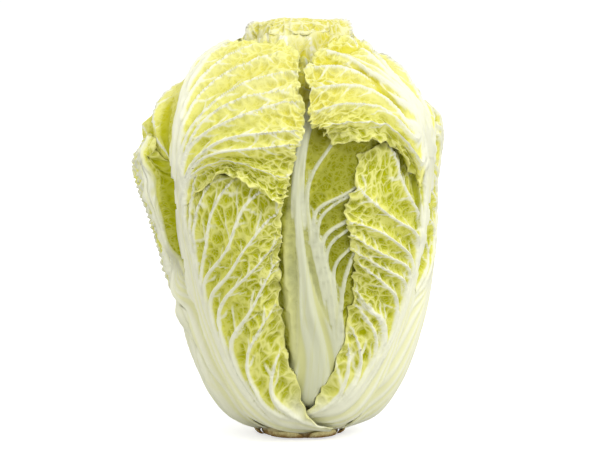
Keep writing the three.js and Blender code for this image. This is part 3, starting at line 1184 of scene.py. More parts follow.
# ---- The relief of a leaf -------------------------------------------------------------------
@dataclass
class LeafRelief:
    """Geometry nodes that press veins, puckers and ruffles into a leaf's smooth sheet."""

    thickness: float = 0.9
    cell: float = 6.0  # breadth of the meshes of the net of small veins
    cell_depth: float = 2.1
    crumple: float = 2.0
    skirt: float = 4.6  # how far the blade rises towards its laterals
    stray: float = 1.6  # how far a ruffled edge strays from its sheet
    tree: bpy.types.NodeTree = field(init=False)

    INPUTS = (
        ("Leaf", "NodeSocketGeometry"),
        ("Veins", "NodeSocketObject"),
        ("Thickness", "NodeSocketFloat"),
        ("Cell Depth", "NodeSocketFloat"),
        ("Crumple", "NodeSocketFloat"),
        ("Skirt", "NodeSocketFloat"),
        ("Ruffle", "NodeSocketFloat"),
        ("Seed", "NodeSocketFloat"),
        ("Finish", "NodeSocketMaterial"),
    )

    def __post_init__(self) -> None:
        """Builds the tree."""
        self.tree = new_tree("leaf relief", "GeometryNodeTree", self.INPUTS, self.INPUTS[:1])
        self._lay_out(Graph(self.tree))

    @staticmethod
    def _level(graph: Graph, veins: Any, flat: Any, level: Level) -> tuple[Any, Any, Any]:
        """Finds the nearest vein of one order.

        Args:
            graph: The tree.
            veins: The wires of all the veins.
            flat: Places on the flat blade.
            level: The order.

        Returns:
            The distance to that vein, and its width and rise.
        """
        same = graph.math("COMPARE", graph.stored("level"), float(level.value), 0.1)
        own = graph.node("GeometryNodeSeparateGeometry", {0: veins, 1: same}, domain="POINT").outputs[0]
        sides = {0: own, "Sample Position": flat}
        near = graph.node("GeometryNodeProximity", sides, target_element="EDGES")
        ends = {0: own, "Sample Position": near.outputs["Position"]}
        index = graph.node("GeometryNodeSampleNearest", ends).outputs[0]
        sampled = []
        for name in ("width", "rise"):
            inputs = {0: own, "Value": graph.stored(name), "Index": index}
            sampled.append(graph.node("GeometryNodeSampleIndex", inputs, data_type="FLOAT").outputs[0])
        return near.outputs["Distance"], *sampled

    def _lay_out(self, graph: Graph) -> None:
        """Lays out the tree's nodes.

        Args:
            graph: The tree.
        """
        given = graph.node("NodeGroupInput").outputs
        seed = given["Seed"]
        flat, lift = (graph.stored(name, "FLOAT_VECTOR") for name in ("flat", "lift"))
        margin, white, inside = (graph.stored(name) for name in ("margin", "white", "inside"))
        ribs, mark, spread = self._ribs(graph, given, flat)
        blade = graph.minus(1.0, white)
        body = graph.plus(spread, self._crumples(graph, given, flat))
        body = graph.minus(body, self._pits(graph, given, flat, mark, margin))
        body = graph.plus(graph.times(body, blade), graph.times(white, self._ridges(graph, flat)))
        edge = graph.times(graph.times(graph.fall(margin, 6.0), given["Ruffle"]), blade)
        slow = graph.minus(graph.noise(flat, 1 / 9, 1.0, 0, seed), 0.45)
        quick = graph.minus(graph.noise(flat, 1 / 4, 1.0, 0, seed), 0.5)
        ripple = graph.times(graph.plus(graph.times(slow, 3.0), quick), edge)
        height = graph.plus(body, ribs)
        total = graph.minus(graph.plus(height, ripple), graph.times(inside, given["Thickness"]))
        move = graph.vector("SCALE", lift, {"Scale": graph.times(total, MM)})
        stray = graph.vector("SUBTRACT", graph.noise(flat, 1 / 5, 2.0, 1, seed), (0.5, 0.5, 0.5))
        stray = graph.vector("SCALE", stray, {"Scale": graph.times(edge, self.stray * MM)})
        inputs = {0: given["Leaf"], "Offset": graph.vector("ADD", move, stray)}
        moved = graph.node("GeometryNodeSetPosition", inputs).outputs[0]
        settings = {"data_type": "FLOAT", "domain": "POINT"}
        for name, value in (("vein", mark), ("height", height)):
            inputs = {0: moved, "Name": name, "Value": value}
            moved = graph.node("GeometryNodeStoreNamedAttribute", inputs, **settings).outputs[0]
        graph.hand_over(moved, given["Finish"])

    def _ribs(self, graph: Graph, given: Any, flat: Any) -> tuple[Any, Any, Any]:
        """Raises the drawn veins.

        Args:
            graph: The tree.
            given: Its inputs.
            flat: Places on the flat blade.

        Returns:
            How high the veins stand, where they show, and how the blade rises towards them.
        """
        veins = graph.node("GeometryNodeObjectInfo", {0: given["Veins"]}).outputs["Geometry"]
        height: Any = 0.0
        mark: Any = 0.0
        spread: Any = 0.0
        for level in Level:
            away, width, rise = self._level(graph, veins, flat, level)
            share = graph.math("DIVIDE", away, width)
            bump = graph.math("EXPONENT", graph.times(graph.times(share, share), -1.0))
            height = graph.math("SMOOTH_MAX", height, graph.times(bump, rise), 0.25)
            bright = 0.6 if level is Level.BRANCH else 1.0
            shown = graph.times(graph.ramp(share, 0.35, 1.15, bright, 0.0), graph.ramp(rise, 0.05, 0.5))
            mark = graph.math("MAXIMUM", mark, shown)
            if level is Level.LATERAL:
                spread = graph.times(graph.minus(graph.fall(away, 7.0), 0.75), given["Skirt"])
        return height, mark, spread

    @staticmethod
    def _ridges(graph: Graph, flat: Any) -> Any:
        """Raises the petiole's flesh, in ridges that run its length and draw together.

        Args:
            graph: The tree.
            flat: Places on the flat blade.

        Returns:
            How high the flesh stands.
        """
        wander = graph.noise(graph.vector("MULTIPLY", flat, (0.04, 0.012, 1.0)), 1.0, 1.0)
        lane = graph.plus(graph.stored("lane"), graph.times(wander, 1.5))
        return graph.ramp(graph.math("PINGPONG", lane, 0.5), 0.04, 0.42, 1.25, 0.3)

    def _pits(self, graph: Graph, given: Any, flat: Any, mark: Any, margin: Any) -> Any:
        """Sinks the blade between the veins of its net.

        Args:
            graph: The tree.
            given: Its inputs.
            flat: Places on the flat blade.
            mark: Where the drawn veins show.
            margin: Distances from the blade's edge.

        Returns:
            How deep the blade is sunk.
        """
        strength = graph.ramp(graph.noise(flat, 1 / 12, 2.0, 0, given["Seed"]), 0.3, 0.62, 0.45, 1.0)
        net = graph.times(vein_net(graph, flat, self.cell, 0.4), strength)
        depth = graph.times(given["Cell Depth"], graph.ramp(margin, 5.0, 45.0, 1.15, 0.6))
        sunk = graph.times(graph.minus(1.0, graph.math("MAXIMUM", net, mark)), depth)
        small = small_net(graph, flat, self.cell, 0.4)
        return graph.plus(sunk, graph.times(graph.minus(1.0, small), 0.35))

    @staticmethod
    def _crumples(graph: Graph, given: Any, flat: Any) -> Any:
        """How far the blade is crumpled in and out between its laterals."""
        rough = graph.minus(graph.noise(flat, 1 / 15, 3.0, 0, given["Seed"]), 0.5)
        return graph.times(graph.times(rough, 2.0), given["Crumple"])

    def press(self, piece: bpy.types.Object, plan: LeafPlan, finish: bpy.types.Material) -> None:
        """Runs the tree on a leaf and leaves it a plain mesh.

        Args:
            piece: The leaf's smooth shell.
            plan: The leaf's plan.
            finish: The material that the leaf gets.
        """
        veins = plan.veins.draw(plan).to_object(plan.name + "_veins")
        values = {
            "Veins": veins,
            "Thickness": self.thickness,
            "Cell Depth": self.cell_depth,
            "Crumple": self.crumple,
            "Skirt": self.skirt,
            "Ruffle": plan.ruffle,
            "Seed": 7.31 * plan.seed,
            "Finish": finish,
        }
        run_tree(piece, self.tree, values)
        bpy.data.objects.remove(veins)


def run_tree(piece: bpy.types.Object, tree: bpy.types.NodeTree, values: dict[str, Any]) -> None:
    """Runs a geometry tree on an object and keeps the result as its plain mesh.

    Args:
        piece: The object.
        tree: The tree.
        values: The tree's inputs, by name.
    """
    modifier = piece.modifiers.new(tree.name, "NODES")
    modifier.node_group = tree
    for item in tree.interface.items_tree:
        if item.item_type == "SOCKET" and item.in_out == "INPUT" and item.name in values:
            modifier[item.identifier] = values[item.name]
    bpy.context.view_layer.update()
    ready = piece.evaluated_get(bpy.context.evaluated_depsgraph_get())
    result = bpy.data.meshes.new_from_object(ready)
    piece.modifiers.clear()
    piece.data = result


# ---- Bud, stem and trimmed feet -----------------------------------------------------------------
@dataclass(frozen=True)
class Bud:
    """The closed bud of the youngest leaves, at the heart."""

    node: str
    head: PackedHead
    columns: int = 60
    rows: int = 36
    inset: float = 1.2
    folds: int = 5
    furrow: float = 1.6  # depth of the furrows

    def build(self, finish: bpy.types.Material) -> bpy.types.Object:
        """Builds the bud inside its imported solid, furrowed where its leaves close over each other.

        Args:
            finish: The bud's material.

        Returns:
            The bud, riding on the head.
        """
        turns = np.linspace(0, 360, self.columns + 1)[:-1]
        turn, climb = np.meshgrid(turns, np.linspace(-88, 88, self.rows))
        toward = directions(0.0, climb, np.zeros_like(climb))
        cos, sin = np.cos(np.radians(turn)), np.sin(np.radians(turn))
        x, y, z = (toward[..., axis] for axis in range(3))
        toward = np.stack([x * cos - y * sin, x * sin + y * cos, z], -1)
        away = np.abs(np.sin(np.radians(self.folds * turn / 2 + 1.5 * climb)))
        depth = self.inset + self.furrow * np.exp(-away / 0.15) * np.cos(np.radians(climb))
        reach = self.head.outer(self.node, toward) - depth
        points = HEART + toward * reach[..., None]
        points[..., 0] += bulge(points[..., 2])
        piece = mesh_object("bud", points.reshape(-1, 3) * MM, wrapped_faces(self.rows, self.columns))
        add_attribute(piece.data, "flat", np.stack([turn, climb, np.zeros_like(turn)], -1).reshape(-1, 3))
        plain = {"margin": 30.0, "white": 0.0, "cream": 0.6, "painted_fold_shade": 0.0, "vein": 0.0, "height": 0.4}
        for name, value in plain.items():
            add_attribute(piece.data, name, np.full(turn.size, value))
        piece.data.materials.append(finish)
        return dress(piece, Slot.HEART, self.node)


class CutFlesh:
    """Geometry nodes that roughen cut and torn flesh where its fray attribute says."""

    INPUTS = (
        ("Flesh", "NodeSocketGeometry"),
        ("Fray", "NodeSocketFloat"),
        ("Grain", "NodeSocketFloat"),
        ("Seed", "NodeSocketFloat"),
        ("Finish", "NodeSocketMaterial"),
    )

    def __init__(self) -> None:
        """Builds the tree."""
        self.tree = new_tree("cut flesh", "GeometryNodeTree", self.INPUTS, self.INPUTS[:1])
        graph = Graph(self.tree)
        given = graph.node("NodeGroupInput").outputs
        position = graph.node("GeometryNodeInputPosition").outputs[0]
        place = graph.vector("SCALE", position, {"Scale": 1 / MM})
        fray = graph.stored("fray")
        broad = graph.noise(place, 1 / 5, 2.0, 1, given["Seed"])
        broad = graph.vector("SUBTRACT", broad, (0.5, 0.5, 0.5))
        broad = graph.vector("SCALE", broad, {"Scale": graph.times(given["Fray"], fray)})
        grain = graph.minus(graph.noise(place, 1 / 1.6, 2.0, 0, given["Seed"]), 0.5)
        grain = graph.times(graph.times(grain, given["Grain"]), fray)
        normal = graph.node("GeometryNodeInputNormal").outputs[0]
        move = graph.vector("ADD", broad, graph.vector("SCALE", normal, {"Scale": grain}))
        inputs = {0: given["Flesh"], "Offset": graph.vector("SCALE", move, {"Scale": MM})}
        graph.hand_over(graph.node("GeometryNodeSetPosition", inputs).outputs[0], given["Finish"])

    def roughen(
        self, piece: bpy.types.Object, fray: float, grain: float, seed: int, finish: bpy.types.Material
    ) -> None:
        """Runs the tree on a piece and leaves it a plain mesh.

        Args:
            piece: The piece, with its fray attribute stored.
            fray: How far it is torn out of shape, in millimetres.
            grain: How deep its fine grain is, in millimetres.
            seed: Which tears it gets.
            finish: The material that it gets.
        """
        values = {"Fray": fray, "Grain": grain, "Seed": 3.7 * seed, "Finish": finish}
        run_tree(piece, self.tree, values)


@dataclass(frozen=True)
class Stem:
    """The cut stem: a cone up into the head, with a frayed rim round its cut face."""

    node: str
    profile: tuple[tuple[float, float], ...] = (
        (0.3, 0.7), (8, 0.7), (16, 0.6), (21, 0.5), (22.8, 0.4), (23.6, 1.2), (23.6, 3), (23.4, 5),
        (22.4, 10), (19, 27), (15.5, 44), (12, 61), (8.8, 77), (4.8, 82.2), (0.3, 83.6),
    )
    columns: int = 120
    steps: int = 6  # rings to each span of the profile
    frayed: tuple[float, float] = (17.0, 23.0)  # radii over which its rim frays
    sound: tuple[float, float] = (4.0, 12.0)  # heights over which it is sound again

    def build(self, flesh: CutFlesh, finish: bpy.types.Material) -> bpy.types.Object:
        """Builds the stem.

        Args:
            flesh: The tree that roughens it.
            finish: Its material.

        Returns:
            The stem, riding on the head.
        """
        rings = spline(self.profile, np.linspace(0, 1, self.steps * (len(self.profile) - 1) + 1))
        turn = np.linspace(0, math.tau, self.columns + 1)[:-1]
        radius, height = rings[:, 0], np.repeat(rings[:, 1:], self.columns, 1)
        points = np.stack([np.outer(radius, np.cos(turn)), np.outer(radius, np.sin(turn)), height], -1)
        points[..., 0] += bulge(points[..., 2])
        first, last = ring_ends(len(rings), self.columns)
        faces = wrapped_faces(len(rings), self.columns) + [first[::-1], last]
        piece = mesh_object("stem_flesh", points.reshape(-1, 3) * MM, faces)
        rim = smoothstep(radius, *self.frayed) * (1 - smoothstep(rings[:, 1], *self.sound))
        add_attribute(piece.data, "fray", np.repeat(rim, self.columns))
        flesh.roughen(piece, fray=1.0, grain=0.8, seed=1, finish=finish)
        return dress(piece, Slot.STEM, self.node)


@dataclass(frozen=True)
class TrimmedFoot:
    """What is left of a trimmed outer leaf: a short torn plate against the foot of the stem."""

    node: str
    azimuth: float
    spread: float
    radius: float
    thickness: float
    height: float
    seed: int
    columns: int = 90
    rows: int = 14
    floor_gap: float = 0.9
    tear: float = 0.28  # depth of its torn top, as a share of a leaf's notches
    lowest: float = 0.6
    thin_end: float = 0.35  # thickness at its ends, as a share of that in the middle
    flare: float = 1.6  # how far its top leans out

    def build(self, flesh: CutFlesh, finish: bpy.types.Material) -> bpy.types.Object:
        """Builds the plate as a ring of closed sections, torn along its top.

        Args:
            flesh: The tree that roughens it.
            finish: Its material.

        Returns:
            The plate, riding on the head.
        """
        chance = np.random.default_rng(300 + self.seed)
        s = np.linspace(0, 1, self.columns)[:, None]
        taper = np.clip(np.sin(math.pi * s), 0, 1) ** 0.45
        torn = notches(s * math.radians(self.spread) * self.radius, chance) * self.tear
        loop = np.linspace(0, math.tau, 2 * self.rows + 1)[None, :-1]
        across, up = 0.5 - 0.5 * np.cos(loop), 0.5 - 0.5 * np.sin(loop)
        height = np.maximum(self.height * taper + torn, self.lowest)
        z = self.floor_gap + height * up
        thickness = self.thickness * (self.thin_end + (1 - self.thin_end) * taper)
        radius = self.radius + across * thickness + self.flare * up**2
        turn = np.radians(self.azimuth + self.spread * (s - 0.5)) + 0 * loop
        points = np.stack([radius * np.sin(turn), -radius * np.cos(turn), z + 0 * turn], -1)
        first, last = ring_ends(self.columns, 2 * self.rows)
        faces = [face[::-1] for face in wrapped_faces(self.columns, 2 * self.rows)]
        faces += [first, last[::-1]]
        piece = mesh_object(self.node.replace("foot_", "foot_flesh_"), points.reshape(-1, 3) * MM, faces)
        add_attribute(piece.data, "fray", (0.35 + 0.65 * up + 0 * turn).ravel())
        flesh.roughen(piece, fray=1.0, grain=0.9, seed=self.seed, finish=finish)
        return dress(piece, Slot.TRIMMED, self.node)


def wrapped_faces(rings: int, count: int) -> list[tuple[int, ...]]:
    """Lays faces between closed rings of points.

    Args:
        rings: How many rings there are.
        count: How many points each has.

    Returns:
        The faces.
    """
    faces = []
    for ring in range(rings - 1):
        for i in range(count):
            a, b = ring * count + i, ring * count + (i + 1) % count
            faces.append((a, b, b + count, a + count))
    return faces


def ring_ends(rings: int, count: int) -> tuple[tuple[int, ...], tuple[int, ...]]:
    """Faces that close the first and the last of some rings, with the same number of points each."""
    return tuple(range(count)), tuple(range(count * (rings - 1), count * rings))


# ---- Finishes --------------------------------------------------------------------------------
def srgb(red: int, green: int, blue: int) -> tuple[float, float, float, float]:
    """Turns a display colour into scene values.

    Args:
        red: Its red, from 0 to 255.
        green: Its green.
        blue: Its blue.

    Returns:
        The colour, opaque.
    """

    def channel(value: int) -> float:
        """One channel's scene value."""
        share = value / 255
        return share / 12.92 if share <= 0.04045 else ((share + 0.055) / 1.055) ** 2.4

    return channel(red), channel(green), channel(blue), 1.0


class LeafPattern:
    """Shader node group that colours a blade: white petiole and veins over a yellow-green net."""

    INPUTS = (
        ("Rib", "NodeSocketColor"),
        ("Pale", "NodeSocketColor"),
        ("Deep", "NodeSocketColor"),
        ("Edge", "NodeSocketColor"),
        ("Net", "NodeSocketFloat"),
        ("Groove", "NodeSocketFloat"),
    )
    OUTPUTS = (
        ("Colour", "NodeSocketColor"),
        ("Roughness", "NodeSocketFloat"),
        ("Height", "NodeSocketFloat"),
    )
    HIGH_DEEP = (222, 213, 52)  # the blade's colours up at the crown, paler and creamier than lower down
    HIGH_PALE = (234, 230, 148)
    FLECK = (128, 104, 52)

    def __init__(self, cell: float) -> None:
        """Builds the group for a net of this mesh size."""
        self.tree = new_tree("leaf pattern", "ShaderNodeTree", self.INPUTS, self.OUTPUTS)
        self._lay_out(Graph(self.tree), cell)

    @staticmethod
    def _stored(graph: Graph, name: str, output: str = "Fac") -> bpy.types.NodeSocket:
        """A value stored on the mesh."""
        return graph.node("ShaderNodeAttribute", attribute_name=name).outputs[output]

    def _lay_out(self, graph: Graph, cell: float) -> None:
        """Lays out the group's nodes.

        Args:
            graph: The group.
            cell: Size of the net's meshes.
        """
        given = graph.node("NodeGroupInput").outputs
        flat = self._stored(graph, "flat", "Vector")
        names = ("vein", "white", "cream", "margin", "height", "painted_fold_shade")
        vein, white, cream, margin, height, painted_fold_shade = (self._stored(graph, name) for name in names)
        climb = graph.node("ShaderNodeSeparateXYZ", {0: flat}).outputs[1]
        blade = graph.minus(1.0, white)
        fine = graph.noise(flat, 1 / 6, 3.0)
        pale = self._paleness(graph, flat, climb, height, cream, fine)
        # Painted shade in creases and under pleats, painted light on ridges.
        pale = graph.minus(pale, graph.times(painted_fold_shade, 1.3), clamp=True)
        high = graph.ramp(climb, 15.0, 90.0)
        deep = graph.mix(high, given["Deep"], srgb(*self.HIGH_DEEP))
        colour = graph.mix(pale, deep, graph.mix(high, given["Pale"], srgb(*self.HIGH_PALE)))
        net = vein_net(graph, flat, cell, 0.17)
        net = graph.times(net, graph.ramp(margin, 4.0, 40.0, 0.85, 0.35))
        lines = graph.math("MAXIMUM", net, graph.times(small_net(graph, flat, cell, 0.16), 0.35))
        lines = graph.times(graph.times(lines, given["Net"]), blade)
        # The net fades in the painted shade of creases.
        lines = graph.times(lines, graph.ramp(painted_fold_shade, 0.2, 0.9, 1.0, 0.2))
        colour = graph.mix(lines, colour, given["Edge"])
        colour = graph.mix(graph.ramp(climb, -131.0, -119.0, 0.85, 0.0), colour, given["Rib"])
        rim = graph.times(graph.fall(margin, 1.8), 0.8)
        colour = graph.mix(graph.times(rim, blade), colour, given["Edge"])
        bare = graph.math("MAXIMUM", graph.ramp(vein, 0.1, 0.8), graph.ramp(white, 0.15, 0.8))
        # The white ribs dim in the painted shade of creases.
        bare = graph.times(bare, graph.ramp(painted_fold_shade, 0.5, 1.0, 1.0, 0.1))
        colour = graph.mix(bare, colour, self._rib_tint(graph, given, flat, height, white))
        relief = graph.plus(graph.times(lines, 0.8), graph.times(fine, 0.25))
        outputs = {
            "Colour": graph.mix(self._flecks(graph, flat), colour, srgb(*self.FLECK)),
            "Roughness": graph.ramp(fine, 0.2, 0.8, 0.38, 0.55),
            "Height": relief,
        }
        graph.node("NodeGroupOutput", outputs)

    @staticmethod
    def _paleness(graph: Graph, flat: Any, climb: Any, height: Any, cream: Any, fine: Any) -> Any:
        """Makes the blade paler beside the petiole, and paints light and shade: paler where its relief
        stands out and up at the crown, deeper in its hollows and low down.

        Args:
            graph: The group.
            flat: Places on the flat blade.
            climb: How far up the blade they are.
            height: How far the relief stands out.
            cream: Nearness to the petiole.
            fine: Fine noise.

        Returns:
            How pale the blade is.
        """
        broad = graph.minus(graph.noise(flat, 1 / 42, 2.0), 0.45)
        # Painted light and shade: raised relief paler, hollows deeper; the broad noise is the blade's own
        # uneven tone.
        pale = graph.plus(graph.times(graph.ramp(height, -3.6, 0.6), 0.85), broad)
        pale = graph.plus(pale, graph.times(cream, 0.2))
        # Painted light: paler up at the crown, darker low down.
        pale = graph.plus(pale, graph.ramp(climb, -60.0, 75.0, -0.4, 0.18))
        return graph.plus(pale, graph.times(graph.minus(fine, 0.5), 0.3), clamp=True)

    @staticmethod
    def _rib_tint(graph: Graph, given: Any, flat: Any, height: Any, white: Any) -> Any:
        """Tints the white of ribs, greener along its fibres, and greener in the petiole's grooves, which is
        partly their own colour and partly painted shade.

        Args:
            graph: The group.
            given: Its inputs.
            flat: Places on the flat blade.
            height: How far the relief stands out.
            white: Where the petiole is.

        Returns:
            The ribs' colour.
        """
        streak = graph.noise(graph.vector("MULTIPLY", flat, (0.55, 0.035, 1.0)), 1.0, 2.0)
        # Groove tint: partly the grooves' own greener colour, partly painted shade.
        groove = graph.times(graph.ramp(height, 0.4, 1.2, 1.0, 0.0), graph.ramp(white, 0.3, 0.9))
        groove = graph.times(groove, given["Groove"])
        tint = graph.math("MAXIMUM", graph.ramp(streak, 0.5, 0.8, 0.0, 0.35), groove)
        return graph.mix(tint, given["Rib"], given["Pale"])

    @staticmethod
    def _flecks(graph: Graph, flat: Any) -> Any:
        """Scatters a few dark specks, about a millimetre across.

        Args:
            graph: The group.
            flat: Places on the flat blade.

        Returns:
            How dark the specks are.
        """
        spots = graph.node("ShaderNodeTexVoronoi", {"Vector": flat, "Scale": 1 / 15}).outputs
        share = graph.node("ShaderNodeSeparateColor", {0: spots["Color"]}).outputs[0]
        dark = graph.ramp(spots["Distance"], 0.02, 0.045, 0.6, 0.0)
        return graph.times(dark, graph.ramp(share, 0.72, 0.75))


@dataclass(frozen=True)
class LeafFinish:
    """A leaf's material: what the pattern colours, on a waxy, light-soaked blade."""

    name: str
    rib: tuple[int, int, int]
    pale: tuple[int, int, int]
    deep: tuple[int, int, int]
    edge: tuple[int, int, int]
    net: float = 1.0
    groove: float = 0.4  # how far the petiole's grooves take the blade's colour, partly their own colour and partly painted shade
    glow: float = 0.12  # share of the light that goes on through the blade

    def make(self, pattern: LeafPattern) -> bpy.types.Material:
        """Makes the material.

        Args:
            pattern: The group that colours the blade.

        Returns:
            The material.
        """
        material = bpy.data.materials.new(self.name)
        material.use_nodes = True
        material.node_tree.nodes.clear()
        graph = Graph(material.node_tree)
        colours = {"Rib": self.rib, "Pale": self.pale, "Deep": self.deep, "Edge": self.edge}
        group = graph.node("ShaderNodeGroup", node_tree=pattern.tree)
        for name, colour in colours.items():
            group.inputs[name].default_value = srgb(*colour)
        group.inputs["Net"].default_value = self.net
        group.inputs["Groove"].default_value = self.groove
        look = group.outputs
        relief = {"Height": look["Height"], "Distance": 0.6 * MM, "Strength": 0.6}
        normal = graph.node("ShaderNodeBump", relief).outputs[0]
        inputs = {"Base Color": look["Colour"], "Roughness": look["Roughness"], "Normal": normal}
        constants = {"IOR": 1.4, "Specular IOR Level": 0.12}
        wax = graph.node("ShaderNodeBsdfPrincipled", inputs | constants).outputs[0]
        through = {"Color": look["Colour"], "Normal": normal}
        flesh = graph.node("ShaderNodeBsdfTranslucent", through).outputs[0]
        shader = graph.node("ShaderNodeMixShader", {0: self.glow, 1: wax, 2: flesh}).outputs[0]
        graph.node("ShaderNodeOutputMaterial", {"Surface": shader})
        return material


@dataclass(frozen=True)
class FleshFinish:
    """Cut flesh, cream inside and dried brown where it stands out towards the floor."""

    name: str
    fresh: tuple[int, int, int]
    dried: tuple[int, int, int]

    def make(self) -> bpy.types.Material:
        """Makes the material.

        Returns:
            The material.
        """
        material = bpy.data.materials.new(self.name)
        material.use_nodes = True
        graph = Graph(material.node_tree)
        place = graph.node("ShaderNodeTexCoord").outputs["Object"]
        place = graph.vector("SCALE", place, {"Scale": 1 / MM})
        blotch = graph.noise(place, 1 / 4, 3.0)
        fibre = graph.noise(graph.vector("MULTIPLY", place, (1.0, 1.0, 0.3)), 1.4, 2.0)
        low = graph.ramp(graph.node("ShaderNodeSeparateXYZ", {0: place}).outputs[2], 0.5, 6.0, 0.35, -0.15)
        dry = graph.ramp(graph.plus(blotch, low), 0.42, 0.85)
        colour = graph.mix(dry, srgb(*self.fresh), srgb(*self.dried))
        colour = graph.mix(graph.ramp(fibre, 0.55, 0.75, 0.0, 0.5), colour, srgb(*self.dried))
        bump = graph.node("ShaderNodeBump", {"Height": fibre, "Distance": 0.5 * MM, "Strength": 0.8})
        shader = material.node_tree.nodes["Principled BSDF"]
        shader.inputs["Roughness"].default_value = 0.75
        shader.inputs["Specular IOR Level"].default_value = 0.2
        material.node_tree.links.new(colour, shader.inputs["Base Color"])
        material.node_tree.links.new(bump.outputs[0], shader.inputs["Normal"])
        return material


# ---- Camera, floor and light --------------------------------------------------------------------
@dataclass(frozen=True)
class Studio:
    """A pale floor under soft light, seen from the front and slightly above."""

    lens: float = 120.0
    view_width: float = 0.3715  # metres across the view at the head's axis
    aim_height: float = 0.1295
    elevation: float = 4.0
    sensor: float = 36.0
    floor_half: float = 40.0

    def set_up(self) -> None:
        """Makes the camera, the floor and the lights."""
        scene = bpy.context.scene
        camera = bpy.data.cameras.new("camera")
        camera.lens, camera.sensor_width = self.lens, self.sensor
        holder = bpy.data.objects.new("camera", camera)
        distance = self.view_width * self.lens / self.sensor
        rise = math.radians(self.elevation)
        holder.location = (0, -distance * math.cos(rise), self.aim_height + distance * math.sin(rise))
        holder.rotation_euler = (math.pi / 2 - rise, 0, 0)
        scene.collection.objects.link(holder)
        scene.camera = holder
        scene.view_settings.view_transform = "Standard"
        self._floor()
        self._sky()
        self._soft_sun("key", (0.7, -0.8, 1.2), 1.4)

    def _floor(self) -> None:
        """Lays the floor."""
        corners = np.array([[-1, -1, 0], [1, -1, 0], [1, 1, 0], [-1, 1, 0]]) * self.floor_half
        floor = mesh_object("floor", corners, [(0, 1, 2, 3)])
        material = bpy.data.materials.new("floor")
        material.use_nodes = True
        graph = Graph(material.node_tree)
        shader = material.node_tree.nodes["Principled BSDF"]
        shader.inputs["Base Color"].default_value = (0.62, 0.62, 0.61, 1)
        shader.inputs["Roughness"].default_value = 0.7
        shader.inputs["Specular IOR Level"].default_value = 0.1
        shader.inputs["Emission Color"].default_value = (1, 1, 1, 1)
        seen = graph.node("ShaderNodeLightPath").outputs["Is Camera Ray"]
        material.node_tree.links.new(graph.times(seen, 0.62), shader.inputs["Emission Strength"])
        floor.data.materials.append(material)

    @staticmethod
    def _sky() -> None:
        """Lights the scene evenly, with a white background behind it."""
        world = bpy.data.worlds.new("studio")
        world.use_nodes = True
        world.node_tree.nodes.clear()
        graph = Graph(world.node_tree)
        seen = graph.node("ShaderNodeLightPath").outputs["Is Camera Ray"]
        levels = {"Value": seen, "To Min": 0.97, "To Max": 1.05}
        strength = graph.node("ShaderNodeMapRange", levels).outputs[0]
        light = graph.node("ShaderNodeBackground", {"Color": (1, 1, 1, 1), "Strength": strength})
        graph.node("ShaderNodeOutputWorld", {"Surface": light.outputs[0]})
        bpy.context.scene.world = world

    @staticmethod
    def _soft_sun(name: str, place: tuple[float, float, float], strength: float) -> None:
        """Adds an even light from one side, as wide as a large soft box.

        Args:
            name: Its name.
            place: A point that it shines from, towards the origin.
            strength: How strong it is.
        """
        light = bpy.data.lights.new(name, "SUN")
        light.energy, light.angle = strength, math.radians(50)
        holder = bpy.data.objects.new(name, light)
        holder.rotation_euler = (-Vector(place)).to_track_quat("-Z", "Y").to_euler()
        bpy.context.scene.collection.objects.link(holder)


# ---- The head's leaves, outermost first -------------------------------------------------------
BARE_MARGIN = (30.0, 28.0, 24.0, 11.0, 3.0, 1.6, 1.2, 0.8)  # a petiole as wide as the leaf, low down
BARE_FRILL = (0.0, 0.0, 0.0, 0.1, 0.7, 1.0)
CLOSED = (1.0, 1.0, 1.0, 1.0, 1.0, 1.0)

